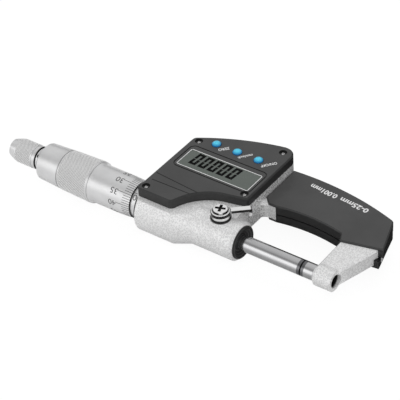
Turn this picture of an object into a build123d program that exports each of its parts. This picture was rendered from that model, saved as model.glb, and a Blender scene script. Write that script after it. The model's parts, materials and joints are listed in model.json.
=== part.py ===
from build123d import *
import os
from math import asin, cos, degrees, pi, radians, sin, sqrt

# Digital outside micrometer for 0 to 25 mm, with its spindle closed on the anvil.
# Millimetres, +Z up out of the display. The origin is the centre of the anvil's measuring
# face. +X runs along the spindle towards the thimble, and the throat opens towards +Y.

os.makedirs("parts", exist_ok=True)

# Gaps between the pieces
running_gap = 0.08          # radial play of a shaft that turns or slides in its bore
seat_gap = 0.04             # play of a piece that is pressed, glued or screwed into its seat
free_gap = 0.3              # air between a moving piece and what it passes
closed_gap = 0.02           # between the two measuring faces
cut_size = 100.0            # cuts that run past the whole body

# Spindle and anvil
measuring_range = 25.0
spindle_radius = 3.25
tip_length = 1.5
tip_chamfer = 0.25
anvil_reach = 5.35          # anvil standing out of its boss
anvil_depth = 5.2           # anvil inside its boss
anvil_boss_radius = 4.4
anvil_boss_length = 8.65
anvil_boss_round = 1.3
anvil_hole_radius = 2.9     # open end of the anvil's bore, in the outer side of the arm

# Arm of the frame and its two covers, in plan
arm_half_thickness = 3.5
anvil_boss_step = 0.15      # arm stands back from the anvil boss's face
arm_foot_inset = (2.8, 3.0)  # metal inside the covers' foot, along X and Y
arm_foot_step = 2.0         # edge of the bare metal inside the covers' outer edge
arm_throat_inset = 1.5      # metal inside the covers at the throat's inner corner
arm_root = 3.0              # arm's end inside the body
arm_root_width = 8.0        # full width between the covers and the throat
casting_edge = 0.6          # bevel along the arm's bare metal
arm_cover_wall = 0.9
arm_cover_seam = 0.3        # open line where the two covers meet
arm_edge = 0.5              # bevel along the covers' rims
throat_side_y = -21.0       # inner edge of the covers at both ends of the throat
throat_sag = 1.5            # the throat's edge is this much deeper in its middle
arm_far_y = -44.3           # outer edge of the covers at the body
arm_corner = (-17.2, -37.6)
arm_corner_round = 2.6
cover_foot_outer = (-22.6, -20.7)
cover_foot_inner_y = -16.7
back_foot_drop = 2.4        # the back cover reaches this much further down the arm's outer side
throat_corner_round = 1.0
arm_far_bow = 2.7           # outer edge bows out by this much
back_foot_shift = 0.6       # the back cover's foot stands this much inwards
throat_corner = (1.9, 3.9)  # slant at the throat's inner corner, along X and Y
flush_start_x = 26.8        # past this the arm is full width between the covers
arm_lobe = 3.2              # slant where the covers meet the body

# Body of the frame
front_boss_x = 28.5
front_boss_radius = 8.1
front_boss_round = 0.9
shoulder_start_x = 49.0
shoulder_end_x = 57.0
rear_boss_radius = 11.0
rear_face_x = 74.5
rear_boss_round = 1.5
body_face_x = 33.3          # side of the body that looks into the throat
body_rear_x = 75.0
seat_z = 7.6                # flat under the display cover
shelf_z = -3.7              # underside of the body at the arm
housing_front_x = 42.0      # deeper housing on the back, on which the instrument lies
housing_near_y = 3.0
housing_inset = 2.6
housing_taper = 9.0
throat_fillet = 3.2
pocket_wall = 2.0
pocket_floor_z = -1.2
pocket_near_y = -11.0
well_floor_z = -7.6
well_size = (20.0, 23.0)
well_round = 3.0

# Display cover
cover_height = 4.1
cover_top_wall = 1.3
cover_side_wall = 1.6
cover_bevel = 0.55
cover_near_y = 5.6
cover_lobe_x = 57.8
cover_notch_mid = (51.6, -4.7)
cover_notch_end = (41.0, -9.6)
cover_front_near_y = -11.4
cover_front_far_y = -48.6
cover_far_mid = (54.0, -43.6)
cover_rear_far_y = -33.4
cover_rounds = (1.6, 2.2, 0.8, 5.2, 2.4)
window_center = (53.5, -20.9)
window_size = (34.4, 10.8)
window_ledge = 0.7
lens_thickness = 0.8
lens_sunk = 0.03
groove_size = (37.6, 15.2)
groove_center = (53.6, -21.5)
groove_round = 2.6
groove_width = 0.5
groove_depth = 0.3
cover_creases = (((73.7, -6.2), (51.7, -4.3)), ((72.8, -1.8), (53.3, -2.1)))
crease_width = 0.35
crease_depth = 0.2

# Cover screws
screw_places = ((71.6, -32.2), (38.0, -43.7), (36.2, -13.6), (72.2, 2.8))
screw_shank_radius = 1.0
screw_head_radius = 1.6
screw_head_height = 0.8
screw_head_depth = 1.4      # bearing face of the heads, under the cover's top
screw_bite = 2.6            # shank inside the frame
screw_pillar_radius = 2.5
screw_head_bevel = 0.25
screw_cross = (2.0, 0.45, 0.55)  # length, width and depth of the driver's cross

# Electronics under the display
board_thickness = 1.2
board_play = 0.5
board_post_radius = 1.7
board_posts = ((41.2, -19.5), (42.4, -38.6), (70.6, -26.5), (57.0, -38.2))
panel_thickness = 1.4
panel_margin = (0.9, 0.45)
zebra_width = 1.8
zebra_inset = 3.5           # strips end this far inside the glass
zebra_height = 2.3
switch_size = (3.6, 3.6, 1.2)
switch_round = 0.5
switch_pip = (0.9, 0.12)    # radius and height
switch_clearance = 0.2      # under the pressed button

# Push buttons
button_places = {
    "button_zero": (64.1, -34.1),
    "button_unit": (53.8, -34.1),
    "button_power": (43.5, -34.1),
}
button_radius = 1.95
button_rise = 0.35          # straight side above the cover
button_dome = 0.95
button_travel = 0.5
button_gap = 0.12
button_flange = 0.65
button_flange_thickness = 0.7
button_stem_radius = 1.2

# Coin cell and its cap, on the back
cell_center = (57.0, -25.0)
cell_radius = 5.8
cell_thickness = 5.2
cell_can_height = 3.7       # up to the step of the can's rim
cell_step = 0.8
cell_edge = 0.5
cell_play = 0.3
cap_radius = 8.0
cap_thickness = 2.2
cap_bevel = 0.2
cap_sunk = 0.15
cap_lug_reach = 1.3
cap_lug_thickness = 0.9
cap_lug_angle = 40.0
cap_turn = 50.0
coin_slot = (11.0, 1.6, 0.8)
cap_slot_angle = 25.0
seal_height = 0.3           # seal's groove above the cap's outer face
well_tube_wall = 2.2
seal_wire = 0.35
contact_thickness = 0.25
contact_width = 2.4
minus_contact_bends = (-7.6, -1.0, 4.2, 7.5)  # along X from the cell's centre
plus_contact_foot = 0.6     # above the cell's underside
rim_contact_size = (1.6, 0.15)

# Spindle clamp
lock_x = 38.1
lock_angle = 221.2          # where the lever points, from +X towards +Y
lock_reach = 12.2
lock_pad_height = 8.2       # top of the round pad on the front boss
lock_pad_radius = 4.5
lock_washer_radius = 4.15
lock_washer_height = 0.7
lock_drum_radius = 3.9
lock_drum_height = 3.0
lock_drum_bevel = 0.5
lever_width = 2.3
lever_thickness = 1.2
lever_drop = 0.25           # lever under the drum's top
lever_tip_drop = 2.2
lock_bolt_radius = 2.0
lock_screw_radius = 1.1
lock_head_radius = 3.0
lock_head_height = 1.0
lock_head_round = 0.6
lock_pad_thickness = 0.9
lock_bolt_grip = 1.6        # bolt inside the lever's drum
lock_screw_length = 5.0
lock_cross = (3.6, 0.8, 0.75)  # length, width and depth of the driver's cross
lock_cross_angle = 20.0

# Dust collar on the front boss
collar_radius = 6.9
collar_rim = 0.8
collar_plug_radius = 5.2
collar_plug_depth = 3.0
collar_dish_depth = 1.5
collar_edge = 0.2
collar_lip = 0.7            # flat ring round the dish
collar_floor = 0.6          # flat ring at the spindle

# Encoder round the spindle
chamber_start_x = 59.4
chamber_length = 7.8
chamber_radius = 6.6
chamber_slot_near_y = 3.6
chamber_slot_overlap = 2.0  # slot inside the pocket
rotor_radius = 6.0
rotor_hub_radius = 4.5
rotor_disc_thickness = 1.0
rotor_hub_length = 2.0
key_width = 1.2
key_depth = 0.8
keyway_end_room = 1.0       # keyway past the rotor's hub at both ends of the travel
stator_radius = 6.3
stator_thickness = 1.2
stator_tab_end_y = -14.2
stator_tab_height = 4.4
ribbon_thickness = 0.2
ribbon_width = 2.2
ribbon_foot = 2.5
ribbon_foot_z = 1.0
stator_tab_overlap = 1.0    # tab inside the stator's disc

# Sleeves and nut
sleeve_radius = 7.3
sleeve_recess = 1.0         # sleeve stands this deep in the rear face
sleeve_seam = 0.5           # open ring round it there
sleeve_end_x = 104.5
inner_sleeve_radius = 5.0
inner_sleeve_start_x = 68.3
inner_sleeve_end_x = 108.2
nut_start_x = 98.0
thread_radius = 3.05
thread_start_x = 69.0
thread_runout = 0.3
slit_width = 0.6
slit_count = 3
adjusting_nut_radius = 6.3
adjusting_nut_length = 3.2

# Thimble
rim_x = 77.9
rim_radius = 7.75
thimble_radius = 8.25
thimble_bevel_length = 6.0
knurl_start_x = 99.9
knurl_end_x = 115.7
knurl_start_radius = 8.95
knurl_end_radius = 8.5
knurl_groove = 0.25         # depth, and slope length, of the grooves at the knurl's ends
taper_start_x = 98.3
band_end_x = 126.8
band_end_radius = 7.95
thimble_end_x = 128.3
thimble_end_radius = 6.3
thimble_bore_end_x = 111.5
thimble_gap = 0.15          # radial air between thimble and sleeve
web_end_x = 121.0

# Ratchet stop
neck_radius = 4.7
neck_end_x = 130.4
spanner_hole_radius = 0.75
spanner_hole_depth = 1.6
spanner_hole_x = 129.3
spanner_hole_angle = 50.0   # from +Y towards +Z
tooth_count = 24
tooth_height = 0.45
tooth_gap = 0.1
tooth_inner_radius = 2.4
tooth_outer_radius = 4.2
tooth_width = 0.5
post_radius = 1.5
post_length = 9.0
knob_radius = 5.15
knob_flange_length = 1.6
knob_groove_depth = 0.3
knob_groove_length = 0.6
knob_knurl_end_x = 141.6
knob_end_x = 145.2
knob_end_radius = 3.95
knob_web = 2.0
knob_bore_radius = 3.5
cap_plug_depth = 1.2
cap_dome = 0.8
stem_screw_radius = 1.4
stem_screw_length = 7.0
spring_radius = 2.5
spring_wire = 0.45
spring_turns = 4
ratchet_head_radius = 2.6
ratchet_head_height = 1.2
ratchet_screw_radius = 0.8
ratchet_screw_length = 4.0
ratchet_screw_room = 0.3
ratchet_head_bevel = 0.3
ratchet_slot = (0.6, 0.5)   # width and depth
knob_edge = 0.15
tooth_ring_margin = 0.1

# Heights and places that follow from the sizes above
rest_z = -rear_boss_radius
arm_face_z = arm_half_thickness + arm_cover_wall
arm_inner_x = -anvil_reach - anvil_boss_step
cover_top_z = seat_z + cover_height
cover_ceiling_z = cover_top_z - cover_top_wall
lens_top_z = cover_top_z - lens_sunk
lens_bottom_z = lens_top_z - lens_thickness
panel_bottom_z = cover_ceiling_z - seat_gap - panel_thickness
panel_size = (window_size[0] + 2 * panel_margin[0], window_size[1] + 2 * panel_margin[1])
board_top_z = panel_bottom_z - zebra_height
board_bottom_z = board_top_z - board_thickness
spindle_bore_radius = spindle_radius + running_gap
cap_bottom_z = rest_z + cap_sunk
cap_top_z = cap_bottom_z + cap_thickness
cell_bottom_z = cap_top_z + seat_gap
cell_top_z = cell_bottom_z + cell_thickness
chamber_end_x = chamber_start_x + chamber_length
rotor_x = chamber_start_x + free_gap
stator_x = rotor_x + rotor_hub_length + free_gap
keyway_start_x = rotor_x - measuring_range - keyway_end_room
keyway_end_x = rotor_x + rotor_hub_length + keyway_end_room
spindle_end_x = web_end_x
knob_start_x = neck_end_x + tooth_gap


def half_section(*corners):
    """Half of a turned piece, as (x, radius) corners above the spindle's axis."""
    with BuildSketch(Plane.XZ) as half:
        with BuildLine():
            Polyline(*corners, close=True)
        make_face()
    return half.sketch


def tube_section(start, end, inner, outer):
    """Half of a plain tube or, with no inner radius, of a rod along the spindle's axis."""
    return half_section((start, inner), (start, outer), (end, outer), (end, inner))


def covered_area(foot_outer=cover_foot_outer):
    """Plan of the part of the arm that the two dark covers wrap."""
    inner_corner = (arm_inner_x + throat_corner[0], cover_foot_inner_y - throat_corner[1])
    middle = ((inner_corner[0] + flush_start_x) / 2, throat_side_y - throat_sag)
    with BuildSketch() as area:
        with BuildLine():
            far = ThreePointArc(
                (body_face_x - seat_gap, arm_far_y),
                (
                    (body_face_x + arm_corner[0]) / 2,
                    (arm_far_y + arm_corner[1]) / 2 - arm_far_bow,
                ),
                arm_corner,
            )
            Line(far @ 1, foot_outer)
            foot = Line(foot_outer, (arm_inner_x, cover_foot_inner_y))
            slant = Line(foot @ 1, inner_corner)
            throat = ThreePointArc(slant @ 1, middle, (flush_start_x, throat_side_y))
            lobe = Line(throat @ 1, (body_face_x - arm_lobe, throat_side_y))
            side = Line(lobe @ 1, (body_face_x - seat_gap, throat_side_y - arm_lobe))
            Line(side @ 1, far @ 0)
        make_face()
        fillet(area.vertices().sort_by_distance((*arm_corner, 0))[0], arm_corner_round)
        fillet(area.vertices().sort_by_distance((*inner_corner, 0))[0], throat_corner_round)
    return area.sketch


def arm_area():
    """Plan of the metal arm: narrow under the covers, full where it is bare."""
    with BuildSketch() as area:
        add(covered_area())
        offset(amount=-arm_cover_wall)
        with BuildLine():
            Polyline(
                (arm_inner_x, 0),
                (arm_inner_x, cover_foot_inner_y),
                (
                    arm_inner_x + throat_corner[0],
                    cover_foot_inner_y - throat_corner[1] - arm_throat_inset,
                ),
                (cover_foot_outer[0] + arm_foot_inset[0], cover_foot_outer[1] - arm_foot_inset[1]),
                (cover_foot_outer[0] + arm_foot_step, cover_foot_outer[1]),
                (-anvil_reach - anvil_boss_length, 0),
                close=True,
            )
        make_face()
        with BuildLine():
            Polyline(
                (flush_start_x, throat_side_y),
                (body_face_x, throat_side_y),
                (body_face_x + arm_root, throat_side_y),
                (body_face_x + arm_root, arm_far_y + arm_cover_wall),
                (flush_start_x, throat_side_y - arm_root_width),
                close=True,
            )
        make_face()
        # round inside corner between the arm and the body
        bend = (body_face_x - throat_fillet, throat_side_y + throat_fillet)
        with BuildLine():
            Polyline(
                (bend[0], throat_side_y),
                (body_face_x + arm_root, throat_side_y),
                (body_face_x + arm_root, bend[1]),
                (body_face_x, bend[1]),
            )
            ThreePointArc(
                (body_face_x, bend[1]),
                (bend[0] + throat_fillet * sqrt(0.5), bend[1] - throat_fillet * sqrt(0.5)),
                (bend[0], throat_side_y),
            )
        make_face()
    return area.sketch


def display_area(inset=0.0):
    """Plan of the display cover, or of a smaller outline inside it."""
    corners = (
        (body_rear_x, cover_near_y),
        (cover_lobe_x, cover_near_y),
        (body_face_x, cover_front_near_y),
        (body_face_x, cover_front_far_y),
        (body_rear_x, cover_rear_far_y),
    )
    with BuildSketch() as area:
        with BuildLine():
            Line(corners[0], corners[1])
            ThreePointArc(corners[1], cover_notch_mid, cover_notch_end)
            Line(cover_notch_end, corners[2])
            Line(corners[2], corners[3])
            ThreePointArc(corners[3], cover_far_mid, corners[4])
            Line(corners[4], corners[0])
        make_face()
        for corner, radius in zip(corners, cover_rounds):
            fillet(area.vertices().sort_by_distance((*corner, 0))[0], radius)
        if inset:
            offset(amount=-inset)
    return area.sketch


def pocket_area(inset=0.0):
    """Plan of the pocket for the electronics, clear of the cover's screws."""
    with BuildSketch() as area:
        add(display_area(pocket_wall + inset))
        with Locations((body_rear_x, pocket_near_y - inset)):
            Rectangle(cut_size, cut_size, align=(Align.CENTER, Align.MIN), mode=Mode.SUBTRACT)
        with Locations(*screw_places):
            Circle(screw_pillar_radius + inset, mode=Mode.SUBTRACT)
    return area.sketch


def around(center, radius, angle):
    """The point at this radius and angle in degrees from a centre, in plan."""
    return (center[0] + radius * cos(radians(angle)), center[1] + radius * sin(radians(angle)))


def lug_area(turn, gap=0.0):
    """Plan of the cap's two lugs, turned from their place at rest, with a gap round them."""
    reach = cap_radius + cap_lug_reach + gap
    spread = cap_lug_angle / 2 + degrees(gap / cap_radius)
    with BuildSketch() as area:
        for middle in (turn, turn + 180):
            with BuildLine():
                Polyline(
                    cell_center,
                    around(cell_center, 2 * reach, middle - spread),
                    around(cell_center, 2 * reach, middle + spread),
                    close=True,
                )
            make_face()
        with Locations(cell_center):
            Circle(reach, mode=Mode.INTERSECT)
    return area.sketch


def crown_teeth(start_x, width, height):
    """A ring of saw teeth that stand on a face across the spindle's axis."""
    teeth = []
    for number in range(tooth_count):
        angle = 2 * pi * number / tooth_count
        outward = Vector(0, cos(angle), sin(angle))
        base = Plane(
            origin=Vector(start_x, 0, 0) + outward * tooth_outer_radius,
            x_dir=(1, 0, 0),
            z_dir=-outward,
        )
        with BuildSketch(base) as tooth:
            with BuildLine():
                Polyline((0, -width / 2), (height, -width / 2), (0, width / 2), close=True)
            make_face()
        teeth.append(extrude(tooth.sketch, amount=tooth_outer_radius - tooth_inner_radius))
    return teeth


def save(piece, label):
    piece.part.label = label
    export_step(piece.part, "parts/" + label + ".step")


# Frame, cast in one piece
with BuildPart() as frame:
    extrude(arm_area(), amount=arm_half_thickness, both=True)
    arm_faces = frame.faces().sort_by(Axis.Z)
    chamfer(arm_faces[0].edges() + arm_faces[-1].edges(), casting_edge)
    # boss that holds the anvil
    boss_end_x = -anvil_reach - anvil_boss_length
    revolve(
        half_section(
            (-anvil_reach, 0),
            (-anvil_reach, anvil_boss_radius - anvil_boss_round),
            (-anvil_reach - anvil_boss_round, anvil_boss_radius),
            (boss_end_x, anvil_boss_radius),
            (boss_end_x, 0),
        ),
        axis=Axis.X,
    )
    # spindle boss, shoulder and rear boss
    revolve(
        half_section(
            (front_boss_x, 0),
            (front_boss_x, front_boss_radius - front_boss_round),
            (front_boss_x + front_boss_round, front_boss_radius),
            (shoulder_start_x, front_boss_radius),
            (shoulder_end_x, rear_boss_radius),
            (rear_face_x - rear_boss_round, rear_boss_radius),
            (rear_face_x, rear_boss_radius - rear_boss_round),
            (rear_face_x, 0),
        ),
        axis=Axis.X,
    )
    # body under the display, joined to the bosses
    with BuildSketch(Plane.XY.offset(shelf_z)):
        add(display_area())
        with Locations((body_face_x, 0)):
            Rectangle(shoulder_end_x - body_face_x, 14, align=(Align.MIN, Align.MAX))
    extrude(amount=seat_z - shelf_z)
    # deeper housing on the back
    with BuildSketch(Plane.XY.offset(rest_z)):
        add(display_area(housing_inset))
        with Locations((housing_front_x, housing_near_y)):
            Rectangle(cut_size, cut_size, align=(Align.MIN, Align.MAX), mode=Mode.INTERSECT)
    extrude(amount=shelf_z - rest_z, taper=-housing_taper)
    # flat seat of the display cover
    with BuildSketch(Plane.XY.offset(seat_z)):
        add(display_area())
        with Locations((shoulder_start_x, 0)):
            Rectangle(
                rear_face_x - shoulder_start_x, 2 * rear_boss_radius, align=(Align.MIN, Align.CENTER)
            )
    extrude(amount=rear_boss_radius, mode=Mode.SUBTRACT)
    # round pad under the clamp
    with BuildSketch():
        with Locations((lock_x, 0)):
            Circle(lock_pad_radius)
    extrude(amount=lock_pad_height)
    # pocket for the board, and the deeper well round the coin cell
    with BuildSketch(Plane.XY.offset(pocket_floor_z)):
        add(pocket_area())
    extrude(amount=seat_z - pocket_floor_z, mode=Mode.SUBTRACT)
    with BuildSketch(Plane.XY.offset(well_floor_z)):
        with Locations(cell_center):
            RectangleRounded(*well_size, well_round)
    extrude(amount=seat_z - well_floor_z, mode=Mode.SUBTRACT)
    with BuildSketch(Plane.XY.offset(well_floor_z)):
        with Locations(cell_center):
            Circle(cell_radius + cell_play + well_tube_wall)
    extrude(amount=cell_top_z - well_floor_z)
    with BuildSketch(Plane.XY.offset(pocket_floor_z)):
        with Locations(*board_posts):
            Circle(board_post_radius)
    extrude(amount=board_bottom_z - pocket_floor_z)
    # bore of the coin cell, its cap's seat and the groove for the cap's lugs
    with BuildSketch(Plane.XY.offset(cap_top_z)):
        with Locations(cell_center):
            Circle(cell_radius + cell_play)
    extrude(amount=cell_top_z - cap_top_z, mode=Mode.SUBTRACT)
    with BuildSketch(Plane.XY.offset(rest_z)):
        with Locations(cell_center):
            Circle(cap_radius + running_gap)
    extrude(amount=cap_top_z - rest_z, mode=Mode.SUBTRACT)
    with BuildSketch(Plane.XY.offset(cap_top_z - cap_lug_thickness - running_gap)):
        with Locations(cell_center):
            Circle(cap_radius + cap_lug_reach + running_gap)
    extrude(amount=cap_lug_thickness + running_gap, mode=Mode.SUBTRACT)
    with BuildSketch(Plane.XY.offset(rest_z)):
        add(lug_area(cap_turn, running_gap))
    extrude(amount=cap_top_z - rest_z, mode=Mode.SUBTRACT)
    # bore of the spindle with the collar's seat, the encoder's chamber and the sleeve's seat
    revolve(
        half_section(
            (front_boss_x - 1, 0),
            (front_boss_x - 1, collar_plug_radius + seat_gap),
            (front_boss_x + collar_plug_depth + seat_gap, collar_plug_radius + seat_gap),
            (front_boss_x + collar_plug_depth + seat_gap, spindle_bore_radius),
            (chamber_start_x, spindle_bore_radius),
            (chamber_start_x, chamber_radius),
            (chamber_end_x, chamber_radius),
            (chamber_end_x, spindle_bore_radius),
            (inner_sleeve_start_x, spindle_bore_radius),
            (inner_sleeve_start_x, inner_sleeve_radius + seat_gap),
            (rear_face_x - sleeve_recess, inner_sleeve_radius + seat_gap),
            (rear_face_x - sleeve_recess, sleeve_radius + sleeve_seam),
            (rear_face_x + 1, sleeve_radius + sleeve_seam),
            (rear_face_x + 1, 0),
        ),
        axis=Axis.X,
        mode=Mode.SUBTRACT,
    )
    with BuildSketch():
        with Locations((chamber_start_x, chamber_slot_near_y)):
            Rectangle(
                chamber_length,
                chamber_slot_near_y - pocket_near_y + chamber_slot_overlap,
                align=(Align.MIN, Align.MAX),
            )
    extrude(amount=seat_z, mode=Mode.SUBTRACT)
    # bore of the anvil, open at its outer end
    anvil_end_x = -anvil_reach - anvil_depth
    revolve(
        half_section(
            (0, 0),
            (0, spindle_radius + seat_gap),
            (anvil_end_x - seat_gap, spindle_radius + seat_gap),
            (anvil_end_x - seat_gap, anvil_hole_radius),
            (boss_end_x - anvil_hole_radius, anvil_hole_radius),
            (boss_end_x - anvil_hole_radius, 0),
        ),
        axis=Axis.X,
        mode=Mode.SUBTRACT,
    )
    # holes of the clamp's bolt and of the cover's screws
    with BuildSketch():
        with Locations((lock_x, 0)):
            Circle(lock_bolt_radius + running_gap)
    extrude(amount=lock_pad_height, mode=Mode.SUBTRACT)
    with BuildSketch(Plane.XY.offset(seat_z)):
        with Locations(*screw_places):
            Circle(screw_shank_radius + seat_gap)
    extrude(amount=-screw_bite - free_gap, mode=Mode.SUBTRACT)
save(frame, "frame")

# Anvil, pressed into the arm, and the carbide disc on its face
with BuildPart() as anvil:
    revolve(tube_section(-tip_length, -anvil_reach - anvil_depth, 0, spindle_radius), axis=Axis.X)
save(anvil, "anvil")

with BuildPart() as anvil_tip:
    revolve(
        half_section(
            (-tip_length, 0),
            (-tip_length, spindle_radius),
            (-tip_chamfer, spindle_radius),
            (0, spindle_radius - tip_chamfer),
            (0, 0),
        ),
        axis=Axis.X,
    )
save(anvil_tip, "anvil_tip")

# Two covers that wrap the arm and meet at its middle plane
back_foot_outer = (cover_foot_outer[0] + back_foot_shift, cover_foot_outer[1] + back_foot_drop)
for label, side, foot_outer in (
    ("arc_cover_front", 1, cover_foot_outer),
    ("arc_cover_back", -1, back_foot_outer),
):
    with BuildPart() as arc_cover:
        with BuildSketch(Plane.XY.offset(side * arm_cover_seam / 2)):
            add(covered_area(foot_outer))
        extrude(amount=side * (arm_face_z - arm_cover_seam / 2))
        chamfer(arc_cover.faces().sort_by(Axis.Z)[-1 if side > 0 else 0].edges(), arm_edge)
        with BuildSketch():
            add(arm_area())
            offset(amount=seat_gap)
        extrude(amount=side * arm_half_thickness, mode=Mode.SUBTRACT)
    save(arc_cover, label)

# Moulded cover over the electronics
with BuildPart() as display_cover:
    with BuildSketch(Plane.XY.offset(seat_z)):
        add(display_area())
    extrude(amount=cover_height)
    chamfer(display_cover.faces().sort_by(Axis.Z)[-1].edges(), cover_bevel)
    # hollow under the top, with pillars for the screws
    with BuildSketch(Plane.XY.offset(seat_z)):
        add(display_area(cover_side_wall))
        with Locations(*screw_places):
            Circle(screw_pillar_radius, mode=Mode.SUBTRACT)
    extrude(amount=cover_ceiling_z - seat_z, mode=Mode.SUBTRACT)
    with BuildSketch(Plane.XY.offset(seat_z)):
        with Locations(window_center):
            Rectangle(panel_size[0] + 2 * seat_gap, panel_size[1] + 2 * seat_gap)
    extrude(amount=cover_ceiling_z - seat_z, mode=Mode.SUBTRACT)
    # window with a ledge under the lens
    with BuildSketch(Plane.XY.offset(cover_ceiling_z)):
        with Locations(window_center):
            Rectangle(window_size[0] - 2 * window_ledge, window_size[1] - 2 * window_ledge)
    extrude(amount=cover_top_wall, mode=Mode.SUBTRACT)
    with BuildSketch(Plane.XY.offset(lens_bottom_z)):
        with Locations(window_center):
            Rectangle(window_size[0] + 2 * seat_gap, window_size[1] + 2 * seat_gap)
    extrude(amount=cover_top_z - lens_bottom_z, mode=Mode.SUBTRACT)
    # shallow groove round the window
    with BuildSketch(Plane.XY.offset(cover_top_z)):
        with Locations(groove_center):
            RectangleRounded(*groove_size, groove_round)
            RectangleRounded(
                groove_size[0] - 2 * groove_width,
                groove_size[1] - 2 * groove_width,
                groove_round - groove_width,
                mode=Mode.SUBTRACT,
            )
    extrude(amount=-groove_depth, mode=Mode.SUBTRACT)
    # creases that run over the raised end of the cover
    for crease in cover_creases:
        with BuildSketch(Plane.XY.offset(cover_top_z)):
            with BuildLine():
                Line(*crease)
            trace(line_width=crease_width)
        extrude(amount=-crease_depth, mode=Mode.SUBTRACT)
    # holes of the buttons and the screws, with recesses for the screws' heads
    with BuildSketch(Plane.XY.offset(cover_ceiling_z)):
        with Locations(*button_places.values()):
            Circle(button_radius + button_gap)
    extrude(amount=cover_top_wall, mode=Mode.SUBTRACT)
    with BuildSketch(Plane.XY.offset(seat_z)):
        with Locations(*screw_places):
            Circle(screw_shank_radius + seat_gap)
    extrude(amount=cover_height, mode=Mode.SUBTRACT)
    with BuildSketch(Plane.XY.offset(cover_top_z)):
        with Locations(*screw_places):
            Circle(screw_head_radius + running_gap)
    extrude(amount=-screw_head_depth, mode=Mode.SUBTRACT)
save(display_cover, "display_cover")

# Four cross-head screws of the cover
screw_seat_z = cover_top_z - screw_head_depth
with BuildPart() as cover_screws:
    with BuildSketch(Plane.XY.offset(seat_z - screw_bite)):
        with Locations(*screw_places):
            Circle(screw_shank_radius)
    extrude(amount=screw_seat_z - seat_z + screw_bite)
    with BuildSketch(Plane.XY.offset(screw_seat_z)):
        with Locations(*screw_places):
            Circle(screw_head_radius)
    extrude(amount=screw_head_height)
    chamfer(cover_screws.faces().filter_by(Axis.Z).group_by(Axis.Z)[-1].edges(), screw_head_bevel)
    with BuildSketch(Plane.XY.offset(screw_seat_z + screw_head_height)):
        with Locations(*screw_places):
            Rectangle(screw_cross[0], screw_cross[1])
            Rectangle(screw_cross[1], screw_cross[0])
    extrude(amount=-screw_cross[2], mode=Mode.SUBTRACT)
save(cover_screws, "cover_screws")

# Clear window and the display glass under it
with BuildPart() as display_lens:
    with BuildSketch(Plane.XY.offset(lens_bottom_z)):
        with Locations(window_center):
            Rectangle(*window_size)
    extrude(amount=lens_thickness)
save(display_lens, "display_lens")

with BuildPart() as lcd_panel:
    with BuildSketch(Plane.XY.offset(panel_bottom_z)):
        with Locations(window_center):
            Rectangle(*panel_size)
    extrude(amount=panel_thickness)
save(lcd_panel, "lcd_panel")

# Two rubber contact strips between the glass and the board
with BuildPart() as zebra_strips:
    with BuildSketch(Plane.XY.offset(board_top_z)):
        with Locations(window_center):
            with GridLocations(0, panel_size[1] - zebra_width, 1, 2):
                Rectangle(panel_size[0] - 2 * zebra_inset, zebra_width)
    extrude(amount=zebra_height)
save(zebra_strips, "zebra_strips")

with BuildPart() as circuit_board:
    with BuildSketch(Plane.XY.offset(board_bottom_z)):
        add(pocket_area(board_play))
    extrude(amount=board_thickness)
save(circuit_board, "circuit_board")

with BuildPart() as tact_switches:
    with BuildSketch(Plane.XY.offset(board_top_z)):
        with Locations(*button_places.values()):
            RectangleRounded(switch_size[0], switch_size[1], switch_round)
    extrude(amount=switch_size[2])
    with BuildSketch(Plane.XY.offset(board_top_z + switch_size[2])):
        with Locations(*button_places.values()):
            Circle(switch_pip[0])
    extrude(amount=switch_pip[1])
save(tact_switches, "tact_switches")

# Three domed push buttons, each turned about its own axis
flange_top_z = cover_ceiling_z - running_gap
flange_bottom_z = flange_top_z - button_flange_thickness
stem_end_z = board_top_z + switch_size[2] + button_travel + switch_clearance
shoulder_z = cover_top_z + button_rise
dome_radius = (button_radius**2 + button_dome**2) / (2 * button_dome)
dome_angle = degrees(asin(button_radius / dome_radius))
for label, place in button_places.items():
    with BuildPart() as button:
        with BuildSketch(Plane.XZ.offset(-place[1])):
            with BuildLine():
                Polyline(
                    (place[0], shoulder_z + button_dome),
                    (place[0], stem_end_z),
                    (place[0] + button_stem_radius, stem_end_z),
                    (place[0] + button_stem_radius, flange_bottom_z),
                    (place[0] + button_radius + button_flange, flange_bottom_z),
                    (place[0] + button_radius + button_flange, flange_top_z),
                    (place[0] + button_radius, flange_top_z),
                    (place[0] + button_radius, shoulder_z),
                )
                CenterArc(
                    (place[0], shoulder_z + button_dome - dome_radius),
                    dome_radius,
                    90 - dome_angle,
                    dome_angle,
                )
            make_face()
        revolve(axis=Axis((*place, 0), (0, 0, 1)))
    save(button, label)

# Coin cell with its two contacts
with BuildPart() as battery_cell:
    with BuildSketch(Plane.XY.offset(cell_bottom_z)):
        with Locations(cell_center):
            Circle(cell_radius)
    extrude(amount=cell_can_height)
    with BuildSketch(Plane.XY.offset(cell_bottom_z + cell_can_height)):
        with Locations(cell_center):
            Circle(cell_radius - cell_step)
    extrude(amount=cell_thickness - cell_can_height)
    chamfer(battery_cell.faces().sort_by(Axis.Z)[0].edges(), cell_edge)
save(battery_cell, "battery_cell")

bends = [cell_center[0] + bend for bend in minus_contact_bends]
with BuildPart() as contact_minus:
    with BuildSketch(Plane.XZ.offset(-cell_center[1] - contact_width / 2)):
        with BuildLine():
            Polyline(
                (bends[0], cell_top_z + seat_gap),
                (bends[1], cell_top_z + seat_gap),
                (bends[2], board_bottom_z - contact_thickness - seat_gap),
                (bends[3], board_bottom_z - contact_thickness - seat_gap),
            )
            offset(amount=contact_thickness, side=Side.LEFT)
        make_face()
    extrude(amount=contact_width)
save(contact_minus, "contact_minus")

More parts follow.
